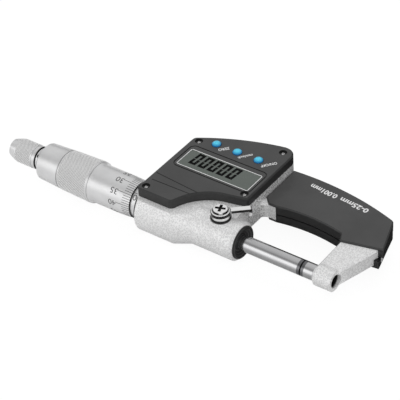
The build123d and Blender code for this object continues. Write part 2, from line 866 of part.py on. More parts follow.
with BuildPart() as contact_plus:
    with BuildSketch(Plane.XY.offset(cell_bottom_z + plus_contact_foot)):
        with Locations((cell_center[0], cell_center[1] + cell_radius + seat_gap)):
            Rectangle(*rim_contact_size, align=(Align.CENTER, Align.MIN))
    extrude(amount=board_bottom_z - seat_gap - cell_bottom_z - plus_contact_foot)
save(contact_plus, "contact_plus")

# Battery cap: a disc with two bayonet lugs, a coin slot and a groove for its seal
with BuildPart() as battery_cap:
    with BuildSketch(Plane.XY.offset(cap_bottom_z)):
        with Locations(cell_center):
            Circle(cap_radius)
    extrude(amount=cap_thickness)
    chamfer(battery_cap.faces().sort_by(Axis.Z)[0].edges(), cap_bevel)
    with BuildSketch(Plane.XY.offset(cap_top_z - cap_lug_thickness)):
        add(lug_area(0))
    extrude(amount=cap_lug_thickness - running_gap)
    with BuildSketch(Plane.XY.offset(cap_bottom_z)):
        with Locations(cell_center):
            SlotOverall(coin_slot[0], coin_slot[1], rotation=cap_slot_angle)
    extrude(amount=coin_slot[2], mode=Mode.SUBTRACT)
    with BuildSketch(Plane.XY.offset(cap_bottom_z + seal_height)):
        with Locations(cell_center):
            Circle(cap_radius + 1)
            Circle(cap_radius - 2 * seal_wire, mode=Mode.SUBTRACT)
    extrude(amount=2 * seal_wire, mode=Mode.SUBTRACT)
save(battery_cap, "battery_cap")

with BuildPart() as cap_seal:
    with BuildSketch(Plane.XZ.offset(-cell_center[1])):
        with Locations((cell_center[0] + cap_radius - seal_wire, cap_bottom_z + seal_height + seal_wire)):
            Circle(seal_wire - seat_gap)
    revolve(axis=Axis((*cell_center, 0), (0, 0, 1)))
save(cap_seal, "cap_seal")

# Spindle clamp: pad, bolt and washer in the boss, then the lever and its screw
pad_bottom_z = spindle_bore_radius + seat_gap
bolt_bottom_z = pad_bottom_z + lock_pad_thickness + seat_gap
drum_bottom_z = lock_pad_height + lock_washer_height + running_gap
drum_top_z = drum_bottom_z + lock_drum_height
bolt_top_z = drum_bottom_z + lock_bolt_grip
screw_end_z = drum_top_z - lock_screw_length

with BuildPart() as lock_pad:
    with BuildSketch(Plane.XY.offset(pad_bottom_z)):
        with Locations((lock_x, 0)):
            Circle(lock_bolt_radius)
    extrude(amount=lock_pad_thickness)
save(lock_pad, "lock_pad")

with BuildPart() as lock_washer:
    with BuildSketch(Plane.XY.offset(lock_pad_height)):
        with Locations((lock_x, 0)):
            Circle(lock_washer_radius)
            Circle(lock_bolt_radius + running_gap, mode=Mode.SUBTRACT)
    extrude(amount=lock_washer_height)
save(lock_washer, "lock_washer")

with BuildPart() as lock_bolt:
    with BuildSketch(Plane.XY.offset(bolt_bottom_z)):
        with Locations((lock_x, 0)):
            Circle(lock_bolt_radius)
    extrude(amount=bolt_top_z - bolt_bottom_z)
    with BuildSketch(Plane.XY.offset(screw_end_z - seat_gap)):
        with Locations((lock_x, 0)):
            Circle(lock_screw_radius + seat_gap)
    extrude(amount=bolt_top_z - screw_end_z + seat_gap, mode=Mode.SUBTRACT)
save(lock_bolt, "lock_bolt")

lever_dir = (cos(radians(lock_angle)), sin(radians(lock_angle)), 0)
lever_top_z = drum_top_z - lever_drop
lever_plane = Plane((lock_x, 0, lever_top_z - lever_thickness), x_dir=lever_dir, z_dir=(0, 0, 1))
with BuildPart() as lock_lever:
    with BuildSketch(Plane.XY.offset(drum_bottom_z)):
        with Locations((lock_x, 0)):
            Circle(lock_drum_radius)
    extrude(amount=lock_drum_height)
    chamfer(lock_lever.faces().sort_by(Axis.Z)[-1].edges(), lock_drum_bevel)
    with BuildSketch(lever_plane):
        with Locations((lock_reach / 2, 0)):
            Rectangle(lock_reach, lever_width)
    extrude(amount=lever_thickness)
    with BuildSketch(lever_plane):
        with Locations((lock_reach - lever_thickness, 0)):
            Rectangle(lever_thickness, lever_width, align=(Align.MIN, Align.CENTER))
    extrude(amount=-lever_tip_drop)
    with BuildSketch(Plane.XY.offset(drum_bottom_z)):
        with Locations((lock_x, 0)):
            Circle(lock_bolt_radius + seat_gap)
    extrude(amount=lock_bolt_grip + seat_gap, mode=Mode.SUBTRACT)
    with BuildSketch(Plane.XY.offset(drum_bottom_z)):
        with Locations((lock_x, 0)):
            Circle(lock_screw_radius + seat_gap)
    extrude(amount=lock_drum_height, mode=Mode.SUBTRACT)
save(lock_lever, "lock_lever")

with BuildPart() as lock_screw:
    with BuildSketch(Plane.XY.offset(screw_end_z)):
        with Locations((lock_x, 0)):
            Circle(lock_screw_radius)
    extrude(amount=drum_top_z - screw_end_z)
    with BuildSketch(Plane.XY.offset(drum_top_z)):
        with Locations((lock_x, 0)):
            Circle(lock_head_radius)
    extrude(amount=lock_head_height)
    fillet(lock_screw.faces().sort_by(Axis.Z)[-1].edges(), lock_head_round)
    with BuildSketch(Plane.XY.offset(drum_top_z + lock_head_height)):
        with Locations(Location((lock_x, 0), lock_cross_angle)):
            Rectangle(lock_cross[0], lock_cross[1])
            Rectangle(lock_cross[1], lock_cross[0])
    extrude(amount=-lock_cross[2], mode=Mode.SUBTRACT)
save(lock_screw, "lock_screw")

# Dust collar pressed into the front boss, dished round the spindle
collar_x = front_boss_x - collar_rim
with BuildPart() as spindle_collar:
    revolve(
        half_section(
            (collar_x, collar_radius - collar_lip),
            (collar_x, collar_radius - collar_edge),
            (collar_x + collar_edge, collar_radius),
            (front_boss_x, collar_radius),
            (front_boss_x, collar_plug_radius),
            (front_boss_x + collar_plug_depth, collar_plug_radius),
            (front_boss_x + collar_plug_depth, spindle_bore_radius),
            (collar_x + collar_dish_depth, spindle_bore_radius),
            (collar_x + collar_dish_depth, spindle_bore_radius + collar_floor),
        ),
        axis=Axis.X,
    )
save(spindle_collar, "spindle_collar")

# Encoder: a disc keyed to the spindle, and a fixed disc with its ribbon
with BuildPart() as encoder_rotor:
    revolve(
        half_section(
            (rotor_x, spindle_bore_radius),
            (rotor_x, rotor_radius),
            (rotor_x + rotor_disc_thickness, rotor_radius),
            (rotor_x + rotor_disc_thickness, rotor_hub_radius),
            (rotor_x + rotor_hub_length, rotor_hub_radius),
            (rotor_x + rotor_hub_length, spindle_bore_radius),
        ),
        axis=Axis.X,
    )
    with BuildSketch(Plane.XY.offset(spindle_radius - key_depth + running_gap)):
        with Locations((rotor_x, 0)):
            Rectangle(rotor_hub_length, key_width, align=(Align.MIN, Align.CENTER))
    extrude(amount=key_depth + rotor_hub_radius - spindle_radius - 4 * running_gap)
save(encoder_rotor, "encoder_rotor")

with BuildPart() as encoder_stator:
    revolve(
        tube_section(
            stator_x, stator_x + stator_thickness, spindle_bore_radius + free_gap, stator_radius
        ),
        axis=Axis.X,
    )
    with BuildSketch(Plane.XY.offset(free_gap)):
        with Locations((stator_x, -stator_radius + stator_tab_overlap)):
            Rectangle(
                stator_thickness,
                stator_tab_overlap - stator_radius - stator_tab_end_y,
                align=(Align.MIN, Align.MAX),
            )
    extrude(amount=stator_tab_height)
save(encoder_stator, "encoder_stator")

ribbon_x = stator_x + stator_thickness + seat_gap
ribbon_top_z = board_bottom_z - seat_gap
with BuildPart() as encoder_ribbon:
    with BuildSketch(Plane.XZ.offset(-stator_tab_end_y)):
        with BuildLine():
            Polyline(
                (ribbon_x, ribbon_foot_z),
                (ribbon_x, ribbon_top_z),
                (ribbon_x + ribbon_foot, ribbon_top_z),
                (ribbon_x + ribbon_foot, ribbon_top_z - ribbon_thickness),
                (ribbon_x + ribbon_thickness, ribbon_top_z - ribbon_thickness),
                (ribbon_x + ribbon_thickness, ribbon_foot_z),
                close=True,
            )
        make_face()
    extrude(amount=-ribbon_width)
save(encoder_ribbon, "encoder_ribbon")

# Graduated sleeve over the nut, which is slit at its end under the adjusting nut
sleeve_bore_radius = inner_sleeve_radius + seat_gap
with BuildPart() as sleeve:
    sleeve_start_x = rear_face_x - sleeve_recess + seat_gap
    revolve(tube_section(sleeve_start_x, sleeve_end_x, sleeve_bore_radius, sleeve_radius), axis=Axis.X)
save(sleeve, "sleeve")

with BuildPart() as inner_sleeve:
    revolve(
        half_section(
            (inner_sleeve_start_x + seat_gap, spindle_bore_radius),
            (inner_sleeve_start_x + seat_gap, inner_sleeve_radius),
            (inner_sleeve_end_x, inner_sleeve_radius),
            (inner_sleeve_end_x, thread_radius + running_gap),
            (nut_start_x, thread_radius + running_gap),
            (nut_start_x, spindle_bore_radius),
        ),
        axis=Axis.X,
    )
    for number in range(slit_count):
        angle = 2 * pi * number / slit_count
        with BuildSketch(Plane((0, 0, 0), x_dir=(1, 0, 0), z_dir=(0, cos(angle), sin(angle)))):
            with Locations((nut_start_x + 1, 0)):
                Rectangle(inner_sleeve_end_x, slit_width, align=(Align.MIN, Align.CENTER))
        extrude(amount=inner_sleeve_radius + 1, mode=Mode.SUBTRACT)
save(inner_sleeve, "inner_sleeve")

with BuildPart() as adjusting_nut:
    revolve(
        tube_section(
            sleeve_end_x + seat_gap,
            sleeve_end_x + seat_gap + adjusting_nut_length,
            sleeve_bore_radius,
            adjusting_nut_radius,
        ),
        axis=Axis.X,
    )
save(adjusting_nut, "adjusting_nut")

# Spindle with its keyway, and the carbide disc on its face
with BuildPart() as spindle_tip:
    revolve(
        half_section(
            (closed_gap, 0),
            (closed_gap, spindle_radius - tip_chamfer),
            (closed_gap + tip_chamfer, spindle_radius),
            (closed_gap + tip_length, spindle_radius),
            (closed_gap + tip_length, 0),
        ),
        axis=Axis.X,
    )
save(spindle_tip, "spindle_tip")

with BuildPart() as spindle:
    revolve(
        half_section(
            (closed_gap + tip_length, 0),
            (closed_gap + tip_length, spindle_radius),
            (thread_start_x - thread_runout, spindle_radius),
            (thread_start_x, thread_radius),
            (spindle_end_x, thread_radius),
            (spindle_end_x, stem_screw_radius + seat_gap),
            (spindle_end_x - stem_screw_length - 1, stem_screw_radius + seat_gap),
            (spindle_end_x - stem_screw_length - 1, 0),
        ),
        axis=Axis.X,
    )
    with BuildSketch(Plane.XY.offset(spindle_radius - key_depth)):
        with Locations((keyway_start_x, 0)):
            Rectangle(
                keyway_end_x - keyway_start_x,
                key_width + 2 * running_gap,
                align=(Align.MIN, Align.CENTER),
            )
    extrude(amount=key_depth + 1, mode=Mode.SUBTRACT)
save(spindle, "spindle")

# Thimble: a deep cup that turns over the sleeve, carried by its web on the spindle's end
thimble_bore_radius = sleeve_radius + thimble_gap
with BuildPart() as thimble:
    revolve(
        half_section(
            (rim_x, thimble_bore_radius),
            (rim_x, rim_radius),
            (rim_x + thimble_bevel_length, thimble_radius),
            (taper_start_x, thimble_radius),
            (knurl_start_x - 2 * knurl_groove, knurl_start_radius),
            (knurl_start_x - knurl_groove, knurl_start_radius - knurl_groove),
            (knurl_start_x, knurl_start_radius - knurl_groove),
            (knurl_start_x + knurl_groove, knurl_start_radius),
            (knurl_end_x - knurl_groove, knurl_end_radius),
            (knurl_end_x, knurl_end_radius - knurl_groove),
            (knurl_end_x + knurl_groove, knurl_end_radius - knurl_groove),
            (knurl_end_x + 2 * knurl_groove, knurl_end_radius),
            (band_end_x, band_end_radius),
            (thimble_end_x, thimble_end_radius),
            (thimble_end_x, neck_radius + seat_gap),
            (web_end_x, neck_radius + seat_gap),
            (web_end_x, thread_radius + seat_gap),
            (thimble_bore_end_x, thread_radius + seat_gap),
            (thimble_bore_end_x, thimble_bore_radius),
        ),
        axis=Axis.X,
    )
save(thimble, "thimble")

# Ratchet stop: a stem screwed into the spindle, with saw teeth that drive the knob
post_hole_x = neck_end_x + post_length - ratchet_screw_length - ratchet_screw_room
with BuildPart() as ratchet_stem:
    revolve(
        half_section(
            (web_end_x - stem_screw_length, 0),
            (web_end_x - stem_screw_length, stem_screw_radius),
            (web_end_x + seat_gap, stem_screw_radius),
            (web_end_x + seat_gap, neck_radius),
            (neck_end_x, neck_radius),
            (neck_end_x, post_radius),
            (neck_end_x + post_length, post_radius),
            (neck_end_x + post_length, ratchet_screw_radius + seat_gap),
            (post_hole_x, ratchet_screw_radius + seat_gap),
            (post_hole_x, 0),
        ),
        axis=Axis.X,
    )
    add(crown_teeth(neck_end_x, tooth_width, tooth_height))
    hole_dir = Vector(0, cos(radians(spanner_hole_angle)), sin(radians(spanner_hole_angle)))
    with BuildSketch(
        Plane(
            Vector(spanner_hole_x, 0, 0) + hole_dir * (neck_radius + 1),
            x_dir=(1, 0, 0),
            z_dir=-hole_dir,
        )
    ):
        Circle(spanner_hole_radius)
    extrude(amount=spanner_hole_depth + 1, mode=Mode.SUBTRACT)
save(ratchet_stem, "ratchet_stem")

knob_groove_x = knob_start_x + knob_flange_length
knob_web_x = knob_start_x + tooth_height + running_gap
with BuildPart() as ratchet_knob:
    revolve(
        half_section(
            (knob_start_x, tooth_outer_radius + tooth_ring_margin),
            (knob_start_x, knob_radius - knob_edge),
            (knob_start_x + knob_edge, knob_radius),
            (knob_groove_x, knob_radius),
            (knob_groove_x, knob_radius - knob_groove_depth),
            (knob_groove_x + knob_groove_length, knob_radius - knob_groove_depth),
            (knob_groove_x + knob_groove_length, knob_radius),
            (knob_knurl_end_x, knob_radius),
            (knob_end_x, knob_end_radius),
            (knob_end_x, knob_bore_radius),
            (knob_start_x + knob_web, knob_bore_radius),
            (knob_start_x + knob_web, post_radius + running_gap),
            (knob_web_x, post_radius + running_gap),
            (knob_web_x, tooth_outer_radius + tooth_ring_margin),
        ),
        axis=Axis.X,
    )
    revolve(
        tube_section(
            knob_start_x,
            knob_web_x,
            tooth_inner_radius - tooth_ring_margin,
            tooth_outer_radius + tooth_ring_margin,
        ),
        axis=Axis.X,
    )
    add(
        crown_teeth(neck_end_x - 0.01, tooth_width + 2 * tooth_gap, tooth_height + tooth_gap),
        mode=Mode.SUBTRACT,
    )
save(ratchet_knob, "ratchet_knob")

cap_radius_of_curve = (knob_end_radius**2 + cap_dome**2) / (2 * cap_dome)
with BuildPart() as ratchet_cap:
    revolve(
        tube_section(knob_end_x - cap_plug_depth, knob_end_x, 0, knob_bore_radius - seat_gap),
        axis=Axis.X,
    )
    with BuildSketch(Plane.XZ):
        with BuildLine():
            Polyline((knob_end_x + cap_dome, 0), (knob_end_x, 0), (knob_end_x, knob_end_radius))
            CenterArc(
                (knob_end_x + cap_dome - cap_radius_of_curve, 0),
                cap_radius_of_curve,
                0,
                degrees(asin(knob_end_radius / cap_radius_of_curve)),
            )
        make_face()
    revolve(axis=Axis.X)
save(ratchet_cap, "ratchet_cap")

# Spring between the knob's web and the head of the screw in the post
spring_start_x = knob_start_x + knob_web + spring_wire
spring_end_x = neck_end_x + post_length - spring_wire
spring_height = spring_end_x - spring_start_x
with BuildPart() as ratchet_spring:
    with BuildLine():
        coil = Helix(
            spring_height / spring_turns,
            spring_height,
            spring_radius,
            center=(spring_start_x, 0, 0),
            direction=(1, 0, 0),
        )
    with BuildSketch(Plane(coil @ 0, z_dir=coil % 0)):
        RegularPolygon(spring_wire / 2, 6)
    sweep(path=coil, is_frenet=True)
save(ratchet_spring, "ratchet_spring")

with BuildPart() as ratchet_screw:
    head_x = neck_end_x + post_length + seat_gap
    revolve(
        half_section(
            (head_x - ratchet_screw_length, 0),
            (head_x - ratchet_screw_length, ratchet_screw_radius),
            (head_x, ratchet_screw_radius),
            (head_x, ratchet_head_radius),
            (head_x + ratchet_head_height - ratchet_head_bevel, ratchet_head_radius),
            (head_x + ratchet_head_height, ratchet_head_radius - ratchet_head_bevel),
            (head_x + ratchet_head_height, 0),
        ),
        axis=Axis.X,
    )
    with BuildSketch(Plane.YZ.offset(head_x + ratchet_head_height)):
        Rectangle(2 * ratchet_head_radius, ratchet_slot[0])
    extrude(amount=-ratchet_slot[1], mode=Mode.SUBTRACT)
save(ratchet_screw, "ratchet_screw")
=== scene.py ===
"""Looks of a digital outside micrometer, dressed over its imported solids."""

import json
import math

import bmesh
import bpy
from bpy.props import (
    FloatProperty,
    FloatVectorProperty,
    IntProperty,
    PointerProperty,
    StringProperty,
)
from mathutils import Matrix, Vector


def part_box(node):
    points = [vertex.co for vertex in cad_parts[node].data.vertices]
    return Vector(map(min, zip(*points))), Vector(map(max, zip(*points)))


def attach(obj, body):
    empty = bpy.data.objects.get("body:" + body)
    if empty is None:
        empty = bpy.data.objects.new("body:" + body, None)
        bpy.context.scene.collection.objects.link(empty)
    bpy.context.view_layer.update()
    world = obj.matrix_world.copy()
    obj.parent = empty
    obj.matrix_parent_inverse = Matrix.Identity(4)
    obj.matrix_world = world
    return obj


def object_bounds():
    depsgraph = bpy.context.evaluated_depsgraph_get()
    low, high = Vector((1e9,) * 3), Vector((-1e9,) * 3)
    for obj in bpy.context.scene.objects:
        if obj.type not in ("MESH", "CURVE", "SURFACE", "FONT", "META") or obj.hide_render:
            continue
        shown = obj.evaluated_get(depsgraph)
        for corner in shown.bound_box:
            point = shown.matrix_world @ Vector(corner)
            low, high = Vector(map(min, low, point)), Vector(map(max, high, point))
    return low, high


bl_info = {
    "name": "Digital Micrometer",
    "version": (1, 0, 0),
    "blender": (4, 5, 0),
    "location": "View3D > Sidebar > Micrometer",
    "description": "Dresses a digital outside micrometer with its finishes, scales and prints",
    "category": "Object",
}

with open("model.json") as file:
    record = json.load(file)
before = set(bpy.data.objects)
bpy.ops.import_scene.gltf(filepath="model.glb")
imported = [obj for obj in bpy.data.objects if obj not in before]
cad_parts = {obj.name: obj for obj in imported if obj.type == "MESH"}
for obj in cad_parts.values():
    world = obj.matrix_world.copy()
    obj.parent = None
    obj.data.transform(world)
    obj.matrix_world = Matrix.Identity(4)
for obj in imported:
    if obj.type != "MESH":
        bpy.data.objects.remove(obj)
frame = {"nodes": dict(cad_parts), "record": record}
cad_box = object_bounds()
NODES = frame["nodes"]
MM = 0.001


# Shader helpers


class Wire:
    """A shader socket that can be used in a Python expression."""

    def __init__(self, shader, socket):
        self.shader = shader
        self.socket = socket

    def _math(self, operation, *values):
        return self.shader.node("ShaderNodeMath", {"operation": operation}, values)

    def __add__(self, other):
        return self._math("ADD", self, other)

    __radd__ = __add__

    def __sub__(self, other):
        return self._math("SUBTRACT", self, other)

    def __rsub__(self, other):
        return self._math("SUBTRACT", other, self)

    def __mul__(self, other):
        return self._math("MULTIPLY", self, other)

    __rmul__ = __mul__

    def __truediv__(self, other):
        return self._math("DIVIDE", self, other)

    def __rtruediv__(self, other):
        return self._math("DIVIDE", other, self)

    def above(self, edge):
        return self._math("GREATER_THAN", self, edge)

    def below(self, edge):
        return self._math("LESS_THAN", self, edge)

    def root(self):
        return self._math("SQRT", self)

    def angle(self, across):
        """Angle of a direction that has this height over that distance across."""
        return self._math("ARCTAN2", self, across)

    def clamp(self):
        return self.shader.node(
            "ShaderNodeMath", {"operation": "ADD", "use_clamp": True}, (self, 0.0)
        )

    def smooth(self, low, high):
        """0 below low, 1 above high, and an even curve between."""
        return self.shader.node(
            "ShaderNodeMapRange",
            {"interpolation_type": "SMOOTHSTEP"},
            {"Value": self, "From Min": low, "From Max": high},
        )

    def sine(self):
        return self._math("SINE", self)

    def absolute(self):
        return self._math("ABSOLUTE", self)


class Shader:
    """The nodes of one material, or of the world."""

    def __init__(self, owner, output="ShaderNodeOutputMaterial"):
        self.owner = owner
        owner.use_nodes = True
        self.tree = owner.node_tree
        self.tree.nodes.clear()
        self.output = self.tree.nodes.new(output)

    def node(self, kind, settings=None, values=(), out=0):
        """Adds a node of this type. Its settings and a ramp's stops come first, then the
        values or links of its sockets, by name or in their order."""
        made = self.tree.nodes.new(kind)
        for key, value in (settings or {}).items():
            if key == "stops":
                ramp = made.color_ramp.elements
                for place, color in value[1:-1]:
                    ramp.new(place).color = (*color, 1.0)
                ramp[0].color = (*value[0][1], 1.0)
                ramp[len(ramp) - 1].color = (*value[-1][1], 1.0)
            else:
                setattr(made, key, value)
        pairs = values.items() if isinstance(values, dict) else enumerate(values)
        for key, value in pairs:
            if isinstance(value, Wire):
                self.tree.links.new(value.socket, made.inputs[key])
            else:
                made.inputs[key].default_value = value
        return Wire(self, made.outputs[out])

    def place(self):
        """The point on the object, in its own metres."""
        return self.node("ShaderNodeTexCoord", out="Object")

    def parts(self, vector):
        """The X, Y and Z of a vector as three numbers."""
        made = self.node("ShaderNodeSeparateXYZ", values=(vector,)).socket.node
        return [Wire(self, made.outputs[axis]) for axis in ("X", "Y", "Z")]

    def axes(self):
        """The point's X, Y and Z in millimetres."""
        return [part * 1000.0 for part in self.parts(self.place())]

    def facing(self):
        """The surface's own direction as three numbers, before any bump."""
        return self.parts(self.node("ShaderNodeTexCoord", out="Normal"))

    def turned(self):
        """Place along the spindle's axis and distance from it, in millimetres."""
        x, y, z = self.axes()
        return x, (y * y + z * z).root()

    def grain(self, size, detail=2.0, rough=0.5, stretch=(1.0, 1.0, 1.0)):
        """Cloudy noise from 0 to 1 whose lumps are about this size in millimetres."""
        at = self.node(
            "ShaderNodeMapping", values={"Vector": self.place(), "Scale": stretch}
        )
        return self.node(
            "ShaderNodeTexNoise",
            values={
                "Vector": at,
                "Scale": 1.0 / (size * MM),
                "Detail": detail,
                "Roughness": rough,
            },
        )

    def cells(self, size):
        """Distance from the nearest of scattered points, this many millimetres apart."""
        return self.node(
            "ShaderNodeTexVoronoi", values={"Vector": self.place(), "Scale": 1.0 / (size * MM)}
        )

    def between(self, mask, first, second):
        """The first colour where the mask is 0 and the second where it is 1."""
        values = {0: mask, 6: first, 7: second}
        for key in (6, 7):
            if not isinstance(values[key], Wire):
                values[key] = (*values[key], 1.0)
        return self.node("ShaderNodeMix", {"data_type": "RGBA"}, values, out=2)

    def bump(self, height, depth, strength):
        """Tilts the surface by a height from 0 to 1 that is this many millimetres deep."""
        values = {"Height": height, "Distance": depth * MM, "Strength": strength}
        return self.node("ShaderNodeBump", values=values)

    def finish(self, **inputs):
        """Puts a Principled surface on the material and returns the material."""
        values = {}
        for key, value in inputs.items():
            name = key.replace("_", " ").title().replace("Ior", "IOR")
            if isinstance(value, (tuple, list)):
                value = (*value, 1.0)
            values[name] = value
        return self.show(self.node("ShaderNodeBsdfPrincipled", values=values))

    def show(self, surface):
        """Links a surface to the output and returns the material or world."""
        self.tree.links.new(surface.socket, self.output.inputs["Surface"])
        return self.owner


def new_shader(name):
    """The empty shader of a new material."""
    return Shader(bpy.data.materials.new(name))


def shade(value):
    """A grey of this linear value."""
    return (value, value, value)


# Mesh helpers


def to_object(name, mesh_data, material, body):
    """Makes a bmesh a finished piece that rides on a body."""
    mesh = bpy.data.meshes.new(name)
    mesh_data.to_mesh(mesh)
    mesh_data.free()
    piece = bpy.data.objects.new(name, mesh)
    bpy.context.scene.collection.objects.link(piece)
    if material is not None:
        mesh.materials.append(material)
    if body:
        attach(piece, body)
    return piece


def text_mesh(text, height, depth, bold=0.0):
    """A bmesh of centred lettering, its capitals this many metres high, in the XY plane."""
    curve = bpy.data.curves.new("lettering", "FONT")
    curve.body = text
    curve.align_x = "CENTER"
    curve.align_y = "CENTER"
    curve.size = height / CAPITAL_SHARE
    curve.extrude = depth / 2
    curve.offset = bold
    curve.resolution_u = 3
    holder = bpy.data.objects.new("lettering", curve)
    bpy.context.scene.collection.objects.link(holder)
    bpy.context.view_layer.update()
    graph = bpy.context.evaluated_depsgraph_get()
    mesh = bpy.data.meshes.new_from_object(holder.evaluated_get(graph))
    made = bmesh.new()
    made.from_mesh(mesh)
    bpy.data.objects.remove(holder)
    bpy.data.curves.remove(curve)
    bpy.data.meshes.remove(mesh)
    return made


def merge_into(target, part, matrix=Matrix.Identity(4)):
    """Adds one bmesh to another, moved by a matrix."""
    bmesh.ops.transform(part, matrix=matrix, verts=part.verts)
    mesh = bpy.data.meshes.new("part")
    part.to_mesh(mesh)
    part.free()
    target.from_mesh(mesh)
    bpy.data.meshes.remove(mesh)


def wrap(drawing, radius_at):
    """Lays a flat drawing on a turned piece. Its X runs along the axis, its Y is the angle
    from +Y towards +Z, and its Z is the height over the surface."""
    for vert in drawing.verts:
        x, angle, lift = vert.co
        radius = radius_at(x) + lift
        vert.co = (x, radius * math.cos(angle), radius * math.sin(angle))
    bmesh.ops.recalc_face_normals(drawing, faces=drawing.faces)


def bar(drawing, first, last):
    """Adds a thin bar to a drawing, between two corners in X and Y."""
    part = bmesh.new()
    bmesh.ops.create_cube(part, size=1.0)
    size = (abs(last[0] - first[0]), abs(last[1] - first[1]), INK_LAYER)
    middle = ((first[0] + last[0]) / 2, (first[1] + last[1]) / 2, 0.0)
    merge_into(drawing, part, Matrix.Translation(middle) @ Matrix.Diagonal((*size, 1.0)))


# Sizes and colours

# Thickness of filled engraving and of ink, half of it over the surface
INK_LAYER = 0.04 * MM

# Height of a capital letter as a share of the lettering's size
CAPITAL_SHARE = 0.73

# How much the strokes of the words and of the range are thickened on each side
WORD_BOLD = 0.03 * MM
RANGE_BOLD = 0.09 * MM

# Faces that carry the prints, above the spindle's axis
COVER_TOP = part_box("display_cover")[1][2]
ARM_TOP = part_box("arc_cover_front")[1][2]

# Thimble's rim, the end of its bevel, and the radii there
RIM = (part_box("thimble")[0][0], 7.75 * MM)
BEVEL_END = (RIM[0] + 6.0 * MM, 8.25 * MM)
SLEEVE_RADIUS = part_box("sleeve")[1][2]
KNOB_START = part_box("ratchet_knob")[0][0] / MM

# Knurls: where they start and end along the axis, their radii there and their body
KNURLS = {
    "thimble_knurl": (100.2 * MM, 115.4 * MM, (8.95 * MM, 8.5 * MM), "spindle"),
    "knob_knurl": (132.9 * MM, 141.5 * MM, (5.15 * MM, 5.15 * MM), "knob"),
}

# Words of the covers in plan, in millimetres: where each starts and where it ends
BUTTON_WORDS = (
    ("ZERO", (58.18, -34.76), (61.35, -31.31)),
    ("mm/inch", (47.64, -36.03), (51.53, -31.31)),
    ("ON/OFF", (36.24, -36.63), (40.59, -31.52)),
)
RANGE_WORDS = (
    ("0-25mm", (-5.65, -37.35), (7.6, -38.4)),
    ("0.001mm", (9.4, -38.55), (22.05, -39.55)),
)

# Middles of the cover's screws in plan, in millimetres
SCREW_PLACES = ((71.6, -32.2), (38.0, -43.7), (36.2, -13.6), (72.2, 2.8))

# Bars of a seven-bar digit, as the middle of each in halves of its width and height
DIGIT_BARS = {
    "a": (0, 1),
    "b": (1, 0.5),
    "c": (1, -0.5),
    "d": (0, -1),
    "e": (-1, -0.5),
    "f": (-1, 0.5),
    "g": (0, 0),
}
LIT_BARS = {
    "0": "abcdef",
    "1": "bc",
    "2": "abdeg",
    "3": "abcdg",
    "4": "bcfg",
    "5": "acdfg",
    "6": "acdefg",
    "7": "abc",
    "8": "abcdefg",
    "9": "abcdfg",
}


class StageSettings(bpy.types.PropertyGroup):
    """Camera and light."""

    azimuth: FloatProperty(
        name="Azimuth",
        description="Camera's turn round the vertical, from behind the thimble",
        default=math.radians(218.35),
        subtype="ANGLE",
    )
    elevation: FloatProperty(
        name="Elevation",
        description="Camera's height over the horizon",
        default=math.radians(38.70),
        subtype="ANGLE",
    )
    roll: FloatProperty(
        name="Roll",
        description="Camera's turn about its own view",
        default=math.radians(-4.06),
        subtype="ANGLE",
    )
    distance: FloatProperty(
        name="Distance",
        description="Camera's distance from the anvil",
        default=0.600,
        unit="LENGTH",
    )
    lens: FloatProperty(
        name="Lens",
        description="Focal length on a 36 mm sensor",
        default=142.366,
    )


class StageOperator(bpy.types.Operator):
    """Places the camera, the lights with the grey room that metal mirrors, and the floor with its
    painted dark reflection
    """

    bl_idname = "micrometer.stage"
    bl_label = "Studio"

    def execute(self, context):
        settings = context.scene.micrometer_stage
        aim_camera(settings)
        light_world()
        lay_floor()
        return {"FINISHED"}


# What bright metal mirrors: the room's brightness by the angle round the X axis, from
# below through +Y, up, -Y and below again, in shares of a full turn
ROOM = (
    (0.0, 0.30),
    (0.30, 0.44),
    (0.40, 0.50),
    (0.48, 0.66),
    (0.52, 0.86),
    (0.595, 0.92),
    (0.625, 0.34),
    (0.67, 0.20),
    (0.735, 0.38),
    (0.84, 0.46),
    (0.925, 0.48),
    (0.965, 0.14),
    (1.0, 0.10),
)

# Where the anvil's face lies in the picture, in halves of its width from the centre
ANVIL_IN_PICTURE = (103.88 / 200, -68.12 / 200)


def aim_camera(settings):
    """Camera at the photograph's view, aimed so that the anvil is where it is there."""
    azimuth, elevation = settings.azimuth, settings.elevation
    back = Vector(
        (
            math.sin(azimuth) * math.cos(elevation),
            -math.cos(azimuth) * math.cos(elevation),
            math.sin(elevation),
        )
    )
    level = Vector((math.cos(azimuth), math.sin(azimuth), 0.0))
    upright = back.cross(level)
    right = level * math.cos(settings.roll) + upright * math.sin(settings.roll)
    up = back.cross(right)
    reach = settings.distance * 18.0 / settings.lens
    place = (
        back * settings.distance
        - right * ANVIL_IN_PICTURE[0] * reach
        - up * ANVIL_IN_PICTURE[1] * reach
    )
    data = bpy.data.cameras.new("camera")
    data.lens = settings.lens
    data.sensor_width = 36.0
    data.clip_start = 0.01
    data.clip_end = 20.0
    camera = bpy.data.objects.new("camera", data)
    camera.matrix_world = Matrix(
        (
            (right.x, up.x, back.x, place.x),
            (right.y, up.y, back.y, place.y),
            (right.z, up.z, back.z, place.z),
            (0.0, 0.0, 0.0, 1.0),
        )
    )
    bpy.context.scene.collection.objects.link(camera)
    bpy.context.scene.camera = camera


